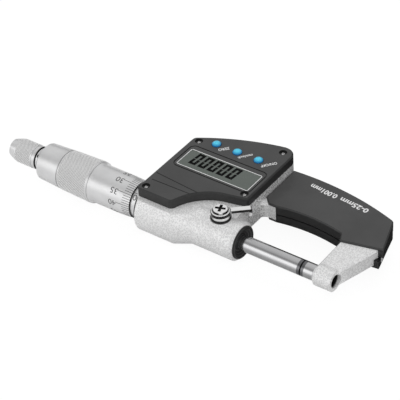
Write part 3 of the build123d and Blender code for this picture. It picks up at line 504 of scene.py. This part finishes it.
def light_world():
    """Even light for the surfaces, white to the camera, and strip lights in a grey room
    for what mirrors them."""
    world = bpy.data.worlds.new("studio")
    bpy.context.scene.world = world
    shader = Shader(world, "ShaderNodeOutputWorld")
    x, y, z = shader.parts(shader.node("ShaderNodeTexCoord", out="Generated"))
    share = z.angle(y) / (2 * math.pi) + 0.5
    stops = [(place, shade(light)) for place, light in ROOM]
    room = shader.node("ShaderNodeValToRGB", {"stops": stops}, {"Fac": share})
    paper_white = (1.0, 1.0, 1.0, 1.0)
    black, even, white, bright = (
        shader.node("ShaderNodeBackground", values={"Color": paper_white, "Strength": light})
        for light in (0.0, 0.55, 1.0, 1.25)
    )
    mirrored = shader.node("ShaderNodeMixShader", values={0: room, 1: black, 2: bright})
    glossy = shader.node("ShaderNodeLightPath", out="Is Glossy Ray")
    camera = shader.node("ShaderNodeLightPath", out="Is Camera Ray")
    seen = shader.node("ShaderNodeMixShader", values={0: glossy, 1: even, 2: mirrored})
    shader.show(shader.node("ShaderNodeMixShader", values={0: camera, 1: seen, 2: white}))
    add_lamp("key", (-0.35, 0.55, 0.75), 0.45, 2.0)
    add_lamp("fill", (0.55, 0.50, 0.45), 0.40, 0.6)
    add_lamp("top", (0.05, -0.35, 0.80), 0.40, 0.9)


def add_lamp(name, place, size, power):
    """A square soft light aimed at the middle of the object."""
    data = bpy.data.lights.new(name, "AREA")
    data.size = size
    data.energy = power
    lamp = bpy.data.objects.new(name, data)
    way = (Vector((0.06, -0.01, 0.0)) - Vector(place)).to_track_quat("-Z", "Y")
    lamp.rotation_euler = way.to_euler()
    lamp.location = place
    lamp.visible_glossy = False
    bpy.context.scene.collection.objects.link(lamp)


def lay_floor():
    """Pale floor that the object rests on; it shows white to the camera but keeps the shadow."""
    made = bmesh.new()
    bmesh.ops.create_grid(made, x_segments=1, y_segments=1, size=3.0)
    bmesh.ops.translate(made, vec=(0.0, 0.0, cad_box[0][2]), verts=made.verts)
    shader = new_shader("floor")
    pale, paler, black = (
        shader.node("ShaderNodeBsdfDiffuse", values={"Color": (light, light, light, 1.0)})
        for light in (0.86, 0.90, 0.02)
    )
    paper = shader.grain(400.0, 2.0)
    diffuse = shader.node("ShaderNodeMixShader", values={0: paper, 1: pale, 2: paler})
    glow = shader.node("ShaderNodeEmission", values={"Strength": 1.06})
    path = shader.node("ShaderNodeLightPath", out="Is Camera Ray")
    seen = shader.node("ShaderNodeMixShader", values={0: path * 0.88, 1: diffuse, 2: glow})
    # painted reflection: to glossy rays the floor is painted black behind the spindle and partly
    # black on the near side, so bright metal mirrors a dark band
    x, y, z = shader.axes()
    shadow = y.smooth(0.0, 5.0) * (0.50 - y.smooth(15.0, 60.0) * 0.3)
    near = 1.0 - x.smooth(60.0, 80.0) * 0.8
    painted_reflection = shader.node("ShaderNodeLightPath", out="Is Glossy Ray") * (
        shadow * near + x.below(70.0) * y.below(-8.0)
    )
    mixed = shader.node("ShaderNodeMixShader", values={0: painted_reflection, 1: seen, 2: black})
    floor = to_object("floor", made, shader.show(mixed), None)


# Finishes, one for each material slot of the record


def frame_paint():
    """Light silver hammertone enamel on the casting."""
    shader = new_shader("frame_paint")
    dimples = shader.cells(0.62)
    fleck = shader.grain(0.26, 3.0, 0.7, (0.6, 1.0, 1.0))
    cloud = shader.grain(9.0, 2.0)
    relief = dimples * 0.5 + fleck * 0.7
    colour = shader.between(relief.smooth(0.40, 0.78), shade(0.71), shade(0.99))
    # painted shade: the walls over the throat are painted darker, with a coarser grain
    x, reach = shader.turned()
    lean = shader.facing()[0]
    throat_shade = (lean * -1.0).smooth(0.3, 0.8) * reach.smooth(9.5, 11.5) * x.smooth(0.0, 5.0)
    shaded_rough_wall = shader.between(relief.smooth(0.45, 0.70), shade(0.34), shade(0.86))
    colour = shader.between(throat_shade, colour, shaded_rough_wall)
    # painted shade: the bore behind the anvil and the bevel round the sleeve are painted near
    # black
    bore = reach.below(3.0) * x.smooth(-13.7, -12.9) * x.below(-6.0)
    seam_shade = lean.above(0.4) * lean.below(0.9) * x.above(72.5) * reach.below(12.5)
    colour = shader.between((bore + seam_shade).clamp(), colour, shade(0.012))
    return shader.finish(
        base_color=colour,
        metallic=0.20,
        roughness=cloud * 0.10 + 0.38,
        coat_weight=0.2,
        normal=shader.bump(relief, 0.11, 0.6),
    )


def moulded_plastic(name, dark, light, roughness):
    """Moulded plastic with a fine spark-eroded grain."""
    shader = new_shader(name)
    grain = shader.grain(0.16, 2.0)
    cloud = shader.grain(12.0, 3.0)
    top = shader.between(cloud.smooth(0.3, 0.7), dark, light)
    # painted shade: a darker copy of the plastic's colour for its walls
    shaded_side = shader.between(cloud, tuple(v * 0.32 for v in dark), tuple(v * 0.38 for v in light))
    # painted shade: the walls, and the floors of the grooves in the display's cover, are painted
    # darker
    height = shader.axes()[2]
    groove_shade = height.above(COVER_TOP / MM - 0.5) * height.below(COVER_TOP / MM - 0.07)
    level = shader.facing()[2].smooth(0.55, 0.92) * (1.0 - groove_shade * 0.75)
    # the shadowed line where the two covers of the arm meet
    seam_shade = height.absolute().below(0.28)
    return shader.finish(
        base_color=shader.between(seam_shade, shader.between(level, shaded_side, top), shade(0.002)),
        roughness=grain * 0.14 + (roughness - 0.07),
        normal=shader.bump(grain, 0.012, 0.6),
    )


def turned_metal(name, color, roughness, ring=0.12, depth=0.004, metallic=1.0, marks=None):
    """Metal with the faint rings that turning or grinding leaves round the X axis. The marks are
    a function that returns where painted shade darkens its lines and recesses."""
    shader = new_shader(name)
    rings = shader.grain(ring, 2.0, 0.5, (1.0, 0.02, 0.02))
    smudge = shader.grain(7.0, 3.0)
    worn = tuple(value * 0.93 for value in color)
    colour = shader.between(smudge.smooth(0.35, 0.75), color, worn)
    # painted shade: the metal is painted near black where the marks say
    if marks:
        colour = shader.between(marks(shader), colour, shade(0.012))
    return shader.finish(
        base_color=colour,
        metallic=metallic,
        roughness=rings * 0.08 + smudge * 0.06 + (roughness - 0.07),
        normal=shader.bump(rings, depth, 0.5),
    )


def anvil_end(shader):
    """Painted shade on the anvil's end, down in its bore."""
    return shader.axes()[0].below(-9.5)


def touching_edges(shader):
    """Painted shade on the two bevels where the measuring faces meet."""
    return shader.axes()[0].absolute().below(0.3)


def turned_gaps(shader):
    """Painted shade on the edge of the thimble's rim, in the gap before the ratchet's knob and in
    the pin's hole; two narrow rings beside the knurl's ends are darkened part way.
    """
    x, reach = shader.turned()
    lip_shade = x.below(RIM[0] / MM + 0.4) * reach.above(SLEEVE_RADIUS / MM + 0.1)
    gap = x.above(KNOB_START - 0.25) * x.below(KNOB_START + 0.3)
    hole = x.above(128.5) * x.below(130.1) * reach.below(4.6) * reach.above(2.9)
    ends = (x - 99.5).absolute().below(0.25) + (x - 115.9).absolute().below(0.2)
    return (lip_shade + gap + hole + ends * 0.45).clamp()


def clamp_chrome():
    """Polished plate of the spindle clamp, with painted dark reflections and painted shade on its
    walls, edges and recesses.
    """
    shader = new_shader("bright_chrome")
    low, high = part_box("lock_screw")
    x, y, z = shader.axes()
    x = x - (low[0] + high[0]) / 2 / MM
    reach = (x * x + y * y).root()
    nx, ny, nz = shader.facing()
    across = (nx * 0.78 + ny * 0.62).absolute()
    top = nz.smooth(0.35, 0.75)
    drum = reach.below(4.2)
    # painted shade: the driver's cross is painted dark, wider than its recess
    turn = math.radians(20.0)  # of the cross, as in the solid
    along = (x * math.cos(turn) + y * math.sin(turn)).absolute()
    aside = (y * math.cos(turn) - x * math.sin(turn)).absolute()
    painted_cross_wings = along.below(2.15) * aside.below(0.62) + along.below(0.62) * aside.below(2.15)
    # painted shade down in the recess
    recess = reach.below(2.3) * z.below(high[2] / MM - 0.3)
    # painted shade in the gap round the screw's head, and a painted dark reflection on the rim of
    # the drum
    rim = reach.above(3.7) * reach.below(4.0)
    gap = reach.above(3.02) * reach.below(3.3) * nz.above(0.7)
    head = (painted_cross_wings + (gap + rim).clamp()) * z.above(10.5)
    # painted shade and dark reflection on the upright walls, darkest under the rim, at the foot
    # and at the lever's end
    under_rim_shade = z.smooth(10.3, 10.7) * across.smooth(0.05, 0.4)
    foot_shade = drum * (1.0 - top) * (1.0 - z.smooth(9.1, 9.7))
    raised = z.smooth(9.6, 10.6)
    shaded_sides = (1.0 - top) * (1.0 - drum + drum * (under_rim_shade + across.smooth(0.65, 0.95)))
    shaded_sides = shaded_sides * (1.0 - reach.above(10.3) * (1.0 - raised))
    tip_shade = reach.smooth(11.4, 12.2) * raised
    lever_shade = (shaded_sides + tip_shade) * reach.below(20.0)
    dark = (recess + head + lever_shade + foot_shade).clamp()
    smudge = shader.grain(3.0, 3.0)
    bright = shader.between(smudge, shade(0.98), shade(0.90))
    return shader.finish(
        base_color=shader.between(dark, bright, shade(0.015)),
        metallic=0.35,
        roughness=smudge * 0.08 + 0.12,
        normal=shader.bump(smudge, 0.002, 0.4),
    )


def screw_metal():
    """Black oxide, with a painted highlight in the middle of each screw's cross."""
    shader = new_shader("dark_metal")
    x, y, z = shader.axes()
    painted_glint = 0.0
    for place in SCREW_PLACES:
        dx, dy = x - place[0], y - place[1]
        painted_glint = painted_glint + (dx * dx + dy * dy).below(0.62 * 0.62)
    hair = shader.grain(0.10, 1.0, 0.5, (1.0, 0.15, 1.0))
    painted_glint = painted_glint.clamp() * z.above(9.0)
    return shader.finish(
        base_color=shader.between(painted_glint, shade(0.02), shade(0.95)),
        metallic=0.4,
        roughness=hair * 0.1 + 0.3,
        normal=shader.bump(hair, 0.002, 0.4),
    )


def plated_metal(name, color, roughness):
    """Polished plate with hair scratches and faint smudges."""
    shader = new_shader(name)
    hair = shader.grain(0.10, 1.0, 0.5, (1.0, 0.15, 1.0))
    smudge = shader.grain(3.0, 3.0)
    return shader.finish(
        base_color=shader.between(smudge, color, tuple(value * 0.95 for value in color)),
        metallic=1.0,
        roughness=smudge * 0.08 + hair * 0.03 + (roughness - 0.05),
        normal=shader.bump(hair, 0.002, 0.4),
    )


def rubber(name, color):
    """Matt rubber with a dusty grain and painted highlights on broken rings round the axis."""
    shader = new_shader(name)
    grain = shader.grain(0.25, 3.0)
    # painted highlights: lighter broken rings round the axis
    rings = (shader.turned()[1] * 7.0).sine().smooth(0.55, 1.0) * grain.smooth(0.35, 0.6)
    return shader.finish(
        base_color=shader.between(rings, color, tuple(v * 7.0 for v in color)),
        roughness=grain * 0.2 + 0.48,
        normal=shader.bump(grain, 0.02, 0.6),
    )


def glossy_plastic(name, color, roughness, wall_shade=None):
    """Glossy moulded plastic, a little uneven in colour, with painted shade on its walls."""
    shader = new_shader(name)
    cloud = shader.grain(1.8, 2.0)
    fine = shader.grain(0.20, 1.0)
    colour = shader.between(cloud, color, tuple(value * 0.93 for value in color))
    if wall_shade:
        # painted shade: the walls take the darker colour, the tops the lit one
        colour = shader.between(shader.facing()[2].smooth(0.60, 0.96), wall_shade, colour)
    return shader.finish(
        base_color=colour,
        roughness=fine * 0.08 + roughness,
        coat_weight=0.25,
        coat_roughness=0.08,
        normal=shader.bump(fine, 0.004, 0.4),
    )


def display_glass():
    """Grey-green reflective back of the display."""
    shader = new_shader("lcd_glass")
    grain = shader.grain(0.12, 2.0)
    cloud = shader.grain(16.0, 2.0)
    colour = shader.between(cloud, (0.118, 0.136, 0.122), (0.134, 0.152, 0.138))
    return shader.finish(
        base_color=colour,
        roughness=grain * 0.1 + 0.38,
        normal=shader.bump(grain, 0.004, 0.4),
    )


def clear_window():
    """Clear acrylic, mostly see-through, with a soft sheen."""
    shader = new_shader("window_clear")
    smear = shader.grain(6.0, 3.0)
    return shader.finish(
        base_color=shade(0.05),
        roughness=smear * 0.06 + 0.05,
        alpha=smear * 0.02 + 0.01,
        specular_ior_level=0.4,
    )


def board_mask():
    """Green solder mask with faint copper traces under it."""
    shader = new_shader("board_green")
    x, y, z = shader.axes()
    trace = ((x * 5.2).sine() * (y * 4.7).sine()).absolute().smooth(0.55, 0.7)
    colour = shader.between(trace, (0.02, 0.16, 0.07), (0.04, 0.24, 0.10))
    return shader.finish(
        base_color=colour, roughness=trace * 0.1 + 0.3, normal=shader.bump(trace, 0.03, 0.5)
    )


def make_finishes():
    """A material for every slot of the record."""
    return {
        "frame_paint": frame_paint(),
        "dark_cover": moulded_plastic("dark_cover", shade(0.062), shade(0.074), 0.48),
        "display_cover": moulded_plastic("display_cover", shade(0.060), shade(0.070), 0.46),
        "spindle_steel": turned_metal(
            "spindle_steel", (0.78, 0.78, 0.79), 0.17, 0.08, marks=anvil_end
        ),
        "carbide": turned_metal("carbide", (0.24, 0.24, 0.25), 0.28, 0.06, marks=touching_edges),
        "satin_chrome": turned_metal(
            "satin_chrome", (0.88, 0.88, 0.885), 0.32, 0.10, 0.004, 0.6, turned_gaps
        ),
        "bright_chrome": clamp_chrome(),
        "dark_metal": screw_metal(),
        "inner_steel": turned_metal("inner_steel", (0.60, 0.60, 0.61), 0.32),
        "contact_spring": plated_metal("contact_spring", (0.80, 0.62, 0.30), 0.25),
        "rubber_black": rubber("rubber_black", shade(0.018)),
        "window_clear": clear_window(),
        "lcd_glass": display_glass(),
        "button_blue": glossy_plastic("button_blue", (0.10, 0.72, 1.0), 0.16, (0.0, 0.20, 0.52)),
        "board_green": board_mask(),
        "encoder_plastic": moulded_plastic(
            "encoder_plastic", (0.10, 0.09, 0.06), (0.13, 0.12, 0.08), 0.4
        ),
        "ribbon_amber": glossy_plastic("ribbon_amber", (0.45, 0.20, 0.03), 0.25),
    }


class FinishOperator(bpy.types.Operator):
    """Gives every solid of the frame its material"""

    bl_idname = "micrometer.finishes"
    bl_label = "Finishes"

    def execute(self, context):
        finishes = make_finishes()
        for part in frame["record"]["subparts"]:
            node = NODES[part["node"]]
            node.data.materials.clear()
            node.data.materials.append(finishes[part["material_slot"]])
        return {"FINISHED"}


# Prints and the display


class PrintSettings(bpy.types.PropertyGroup):
    """Words and lines printed on the covers."""

    ink: FloatVectorProperty(
        name="Ink",
        description="Colour of the print",
        default=(0.95, 0.95, 0.95),
        subtype="COLOR",
    )
    word_height: FloatProperty(
        name="Word height",
        description="Height of the capitals beside the buttons",
        default=1.6 * MM,
        unit="LENGTH",
    )
    range_height: FloatProperty(
        name="Range height",
        description="Height of the figures on the arm",
        default=2.6 * MM,
        unit="LENGTH",
    )
    line_width: FloatProperty(
        name="Window line",
        description="Width of the line round the window",
        default=0.28 * MM,
        unit="LENGTH",
    )


class DisplaySettings(bpy.types.PropertyGroup):
    """Figures of the display."""

    reading: StringProperty(
        name="Reading", description="Figures that the display shows", default="00000"
    )
    digit_height: FloatProperty(
        name="Height", description="Height of a figure", default=6.25 * MM, unit="LENGTH"
    )
    digit_width: FloatProperty(
        name="Width", description="Width of a figure", default=2.2 * MM, unit="LENGTH"
    )
    bar_width: FloatProperty(
        name="Bar", description="Width of a figure's bars", default=1.24 * MM, unit="LENGTH"
    )
    pitch: FloatProperty(
        name="Pitch", description="Distance between figures", default=4.5 * MM, unit="LENGTH"
    )
    offset: FloatVectorProperty(
        name="Offset",
        description="Middle of the figures from the middle of the window",
        default=(2.4 * MM, -0.9 * MM),
        size=2,
        subtype="TRANSLATION",
        unit="LENGTH",
    )
    slant: FloatProperty(
        name="Slant",
        description="How far the figures lean",
        default=math.radians(6.0),
        subtype="ANGLE",
    )
    ink: FloatVectorProperty(
        name="Ink",
        description="Colour of a lit bar",
        default=(0.004, 0.004, 0.004),
        subtype="COLOR",
    )


def printed(name, color, gloss=0.4):
    """Ink with a slightly uneven edge of wear."""
    shader = new_shader(name)
    wear = shader.grain(0.30, 3.0)
    worn = tuple(value * 0.86 for value in color)
    return shader.finish(
        base_color=shader.between(wear.smooth(0.45, 0.75), color, worn),
        roughness=wear * 0.2 + 0.4,
        specular_ior_level=gloss,
        normal=shader.bump(wear, 0.004, 0.4),
    )


def words_along(target, text, start, end, level, height, bold):
    """Adds words that run from one point to the other on a level face."""
    way = Vector(end) - Vector(start)
    middle = (Vector(start) + Vector(end)) * (MM / 2)
    part = text_mesh(text, height, INK_LAYER, bold)
    width = max(vert.co.x for vert in part.verts) - min(vert.co.x for vert in part.verts)
    merge_into(
        target,
        part,
        Matrix.Translation((middle.x, middle.y, level))
        @ Matrix.Rotation(math.atan2(way.y, way.x), 4, "Z")
        @ Matrix.Diagonal((way.length * MM / width, 1.0, 1.0, 1.0)),
    )


class PrintOperator(bpy.types.Operator):
    """Prints the words of the buttons, the range on the arm and the line round the window"""

    bl_idname = "micrometer.prints"
    bl_label = "Prints"

    def execute(self, context):
        settings = context.scene.micrometer_prints
        words = bmesh.new()
        for text, start, end in BUTTON_WORDS:
            words_along(words, text, start, end, COVER_TOP, settings.word_height, WORD_BOLD)
        ink = printed("white_ink", tuple(settings.ink))
        to_object("button_words", words, ink, "frame")
        words = bmesh.new()
        for text, start, end in RANGE_WORDS:
            words_along(words, text, start, end, ARM_TOP, settings.range_height, RANGE_BOLD)
        to_object("range_words", words, ink, "frame")
        low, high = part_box("display_lens")
        line = bmesh.new()
        half = settings.line_width / 2
        for first, last in (
            ((low[0], low[1]), (high[0], low[1])),
            ((low[0], high[1]), (high[0], high[1])),
            ((low[0], low[1]), (low[0], high[1])),
            ((high[0], low[1]), (high[0], high[1])),
        ):
            bar(line, (first[0] - half, first[1] - half), (last[0] + half, last[1] + half))
        bmesh.ops.translate(line, vec=(0.0, 0.0, COVER_TOP), verts=line.verts)
        to_object("window_line", line, ink, "frame")
        return {"FINISHED"}


def digit_bar(target, length, width, matrix):
    """Adds one bar of a digit, a flat lath."""
    part = bmesh.new()
    bmesh.ops.create_grid(part, x_segments=1, y_segments=1, size=0.5)
    merge_into(target, part, matrix @ Matrix.Diagonal((length, width, 1.0, 1.0)))


class DisplayOperator(bpy.types.Operator):
    """Lights the figures of the display"""

    bl_idname = "micrometer.display"
    bl_label = "Display"

    def execute(self, context):
        settings = context.scene.micrometer_display
        low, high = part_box("display_lens")
        middle = [(low[axis] + high[axis]) / 2 + settings.offset[axis] for axis in (0, 1)]
        lean = Matrix.Identity(4)
        lean[0][1] = math.tan(settings.slant)
        level = high[2] - INK_LAYER
        film = bmesh.new()
        bmesh.ops.create_grid(film, x_segments=1, y_segments=1, size=0.5)
        size = (high[0] - low[0] - INK_LAYER, high[1] - low[1] - INK_LAYER)
        place = Matrix.Translation(((low[0] + high[0]) / 2, (low[1] + high[1]) / 2, level))
        place = place @ Matrix.Diagonal((*size, 1.0, 1.0))
        bmesh.ops.transform(film, matrix=place, verts=film.verts)
        glass = NODES["lcd_panel"].data.materials[0]
        to_object("display_film", film, glass, "frame")
        figures = bmesh.new()
        for number, figure in enumerate(settings.reading):
            place = Matrix.Translation(
                (
                    middle[0] + (number - (len(settings.reading) - 1) / 2) * settings.pitch,
                    middle[1],
                    level + INK_LAYER / 4,
                )
            )
            for name in LIT_BARS.get(figure, ""):
                across, along = DIGIT_BARS[name]
                at = Matrix.Translation(
                    (across * settings.digit_width / 2, along * settings.digit_height / 2, 0.0)
                )
                turn = Matrix.Rotation(math.pi / 2 if across else 0.0, 4, "Z")
                length = settings.digit_width + settings.bar_width
                if across:
                    length = (settings.digit_height - settings.bar_width) / 2
                    at = at @ Matrix.Translation((0.0, -along * settings.bar_width / 4, 0.0))
                digit_bar(figures, length, settings.bar_width, place @ lean @ at @ turn)
        bmesh.ops.recalc_face_normals(figures, faces=figures.faces)
        ink = printed("display_ink", tuple(settings.ink), 0.05)
        to_object("display_figures", figures, ink, "frame")
        return {"FINISHED"}


# Engraved scales


class ScaleSettings(bpy.types.PropertyGroup):
    """Scales of the thimble and the sleeve."""

    divisions: IntProperty(
        name="Divisions", description="Marks round the thimble", default=50, min=10
    )
    first_angle: FloatProperty(
        name="Zero mark",
        description="Angle of the thimble's zero mark, from +Y towards +Z",
        default=math.radians(299.2),
        subtype="ANGLE",
    )
    long_mark: FloatProperty(
        name="Long mark", description="Length of a numbered mark", default=6.5 * MM, unit="LENGTH"
    )
    short_mark: FloatProperty(
        name="Short mark", description="Length of a plain mark", default=3.6 * MM, unit="LENGTH"
    )
    mark_width: FloatProperty(
        name="Mark width", description="Width of the marks", default=0.20 * MM, unit="LENGTH"
    )
    number_height: FloatProperty(
        name="Number height", description="Height of the numbers", default=2.6 * MM, unit="LENGTH"
    )
    datum_angle: FloatProperty(
        name="Datum line",
        description="Angle of the sleeve's datum line, from +Y towards +Z",
        default=math.radians(60.0),
        subtype="ANGLE",
    )
    ink: FloatVectorProperty(
        name="Ink",
        description="Colour of the engraving",
        default=(0.09, 0.09, 0.092),
        subtype="COLOR",
    )


# Middle of a number from the end of its mark, and its turn against the mark
NUMBER_GAP = 1.7 * MM
NUMBER_TURN = math.radians(4.5)

# The same on the sleeve, where the numbers stand beside the datum line
SLEEVE_NUMBER_SHIFT = 1.1 * MM
SLEEVE_NUMBER_TURN = math.radians(13.0)

# Marks of the sleeve: half millimetres, millimetres and numbered ones
HALF_MARK = 1.1 * MM
PLAIN_MARK = 1.2 * MM
NUMBERED_MARK = 1.9 * MM

# Travel of the spindle in half millimetres, and how far the datum line runs past it
TRAVEL_HALVES = 50
DATUM_START = 1.6 * MM
DATUM_END = 0.2 * MM


def thimble_surface(x):
    """Radius of the thimble's bevelled front at this place along the axis."""
    share = min(max((x - RIM[0]) / (BEVEL_END[0] - RIM[0]), 0.0), 1.0)
    return RIM[1] + share * (BEVEL_END[1] - RIM[1])


def number_on(drawing, text, x, angle, radius, height):
    """Adds a number that reads along the axis, its top towards smaller angles."""
    part = text_mesh(text, height, INK_LAYER)
    place = Matrix.Translation((x, angle, 0.0)) @ Matrix.Diagonal((1.1, -1.0 / radius, 1.0, 1.0))
    merge_into(drawing, part, place)


class ScaleOperator(bpy.types.Operator):
    """Engraves the scales of the thimble and the sleeve"""

    bl_idname = "micrometer.scales"
    bl_label = "Scales"

    def execute(self, context):
        settings = context.scene.micrometer_scales
        ink = printed("engraving", tuple(settings.ink))
        drawing = bmesh.new()
        step = 2 * math.pi / settings.divisions
        half = settings.mark_width / 2 / BEVEL_END[1]
        start = RIM[0] + 0.4 * MM
        for number in range(settings.divisions):
            angle = settings.first_angle - number * step
            if number % 5:
                bar(drawing, (start, angle - half), (start + settings.short_mark, angle + half))
                continue
            end = start + settings.long_mark
            bar(drawing, (start, angle - half), (BEVEL_END[0], angle + half))
            bar(drawing, (BEVEL_END[0], angle - half), (end, angle + half))
            number_on(
                drawing,
                str(number),
                end + NUMBER_GAP,
                angle - NUMBER_TURN,
                BEVEL_END[1],
                settings.number_height,
            )
        wrap(drawing, thimble_surface)
        to_object("thimble_scale", drawing, ink, "spindle")
        self.engrave_sleeve(settings, ink)
        return {"FINISHED"}

    def engrave_sleeve(self, settings, ink):
        """Datum line with a mark for each half millimetre and a number at every fifth."""
        drawing = bmesh.new()
        half = settings.mark_width / 2
        turn = half / SLEEVE_RADIUS
        zero = RIM[0]
        datum = settings.datum_angle
        end = zero + TRAVEL_HALVES * MM / 2 + DATUM_END
        bar(drawing, (zero - DATUM_START, datum - turn), (end, datum + turn))
        for halves in range(TRAVEL_HALVES + 1):
            x = zero + halves * MM / 2
            numbered = halves % 10 == 0
            if halves % 2:
                first, last = datum, datum + HALF_MARK / SLEEVE_RADIUS
            else:
                reach = NUMBERED_MARK if numbered else PLAIN_MARK
                first, last = datum - reach / SLEEVE_RADIUS, datum
            bar(drawing, (x - half, first), (x + half, last))
            if numbered:
                number_on(
                    drawing,
                    str(halves // 2),
                    x - SLEEVE_NUMBER_SHIFT,
                    datum - SLEEVE_NUMBER_TURN,
                    SLEEVE_RADIUS,
                    settings.number_height,
                )
        wrap(drawing, lambda x: SLEEVE_RADIUS)
        to_object("sleeve_scale", drawing, ink, "frame")


# Knurled grips


class KnurlSettings(bpy.types.PropertyGroup):
    """Knurls of the thimble and the ratchet's knob."""

    pitch: FloatProperty(
        name="Pitch", description="Size of the diamonds", default=0.80 * MM, unit="LENGTH"
    )
    depth: FloatProperty(
        name="Depth", description="Height of the diamonds", default=0.18 * MM, unit="LENGTH"
    )


def knurl(start, end, radii, settings):
    """A skin of small diamonds round the axis, raised at every other crossing of a grid."""
    rows = 2 * round((end - start) / settings.pitch)
    columns = 2 * round(math.pi * (radii[0] + radii[1]) / settings.pitch)
    skin = bmesh.new()
    crest = skin.verts.layers.float.new("crest")
    bmesh.ops.create_grid(skin, x_segments=rows, y_segments=columns, size=0.5)
    crossing = {
        vert: (round((vert.co.x + 0.5) * rows), round((vert.co.y + 0.5) * columns))
        for vert in skin.verts
    }
    for face in list(skin.faces):
        low = [vert for vert in face.verts if sum(crossing[vert]) % 2]
        bmesh.utils.face_split(face, *low)
    for vert, (row, column) in crossing.items():
        share = row / rows
        vert[crest] = 1.0 - (row + column) % 2
        lift = vert[crest] * settings.depth
        if row in (0, rows):
            lift = -0.2 * settings.depth
        radius = radii[0] + share * (radii[1] - radii[0]) + lift
        angle = 2 * math.pi * column / columns
        vert.co = (
            start + share * (end - start),
            radius * math.cos(angle),
            radius * math.sin(angle),
        )
    bmesh.ops.remove_doubles(skin, verts=skin.verts, dist=1e-6)
    bmesh.ops.recalc_face_normals(skin, faces=skin.faces)
    return skin


def knurled_metal():
    """Satin plate, bright on the crests of the knurl, with painted shade in its valleys."""
    shader = new_shader("knurled_chrome")
    crest = shader.node("ShaderNodeAttribute", {"attribute_name": "crest"}, out="Fac")
    fine = shader.grain(0.3, 2.0)
    return shader.finish(
        base_color=shader.between(crest.smooth(0.05, 0.55), shade(0.36), shade(1.0)),
        metallic=0.10,
        roughness=fine * 0.12 + 0.46,
        normal=shader.bump(fine, 0.004, 0.4),
    )


class KnurlOperator(bpy.types.Operator):
    """Cuts the knurls of the thimble and the ratchet's knob"""

    bl_idname = "micrometer.knurls"
    bl_label = "Knurls"

    def execute(self, context):
        settings = context.scene.micrometer_knurls
        chrome = knurled_metal()
        for name, (start, end, radii, body) in KNURLS.items():
            skin = knurl(start, end, radii, settings)
            to_object(name, skin, chrome, body)
        return {"FINISHED"}


SETTINGS = {
    "stage": StageSettings,
    "prints": PrintSettings,
    "display": DisplaySettings,
    "scales": ScaleSettings,
    "knurls": KnurlSettings,
}
OPERATORS = (
    StageOperator,
    FinishOperator,
    PrintOperator,
    DisplayOperator,
    ScaleOperator,
    KnurlOperator,
)
STEPS = ("stage", "finishes", "prints", "display", "scales", "knurls")


class MicrometerPanel(bpy.types.Panel):
    """Lists the steps that dress the micrometer"""

    bl_idname = "VIEW3D_PT_micrometer"
    bl_label = "Micrometer"
    bl_space_type = "VIEW_3D"
    bl_region_type = "UI"
    bl_category = "Micrometer"

    def draw(self, context):
        for step in STEPS:
            self.layout.operator("micrometer." + step)


def register():
    for cls in (*SETTINGS.values(), *OPERATORS, MicrometerPanel):
        bpy.utils.register_class(cls)
    for name, settings in SETTINGS.items():
        setattr(bpy.types.Scene, "micrometer_" + name, PointerProperty(type=settings))


def unregister():
    for name in SETTINGS:
        delattr(bpy.types.Scene, "micrometer_" + name)
    for cls in reversed((*SETTINGS.values(), *OPERATORS, MicrometerPanel)):
        bpy.utils.unregister_class(cls)


def main():
    register()
    bpy.context.scene.view_settings.view_transform = "Standard"
    for step in STEPS:
        getattr(bpy.ops.micrometer, step)()
    bpy.context.view_layer.update()


if __name__ == "__main__":
    main()
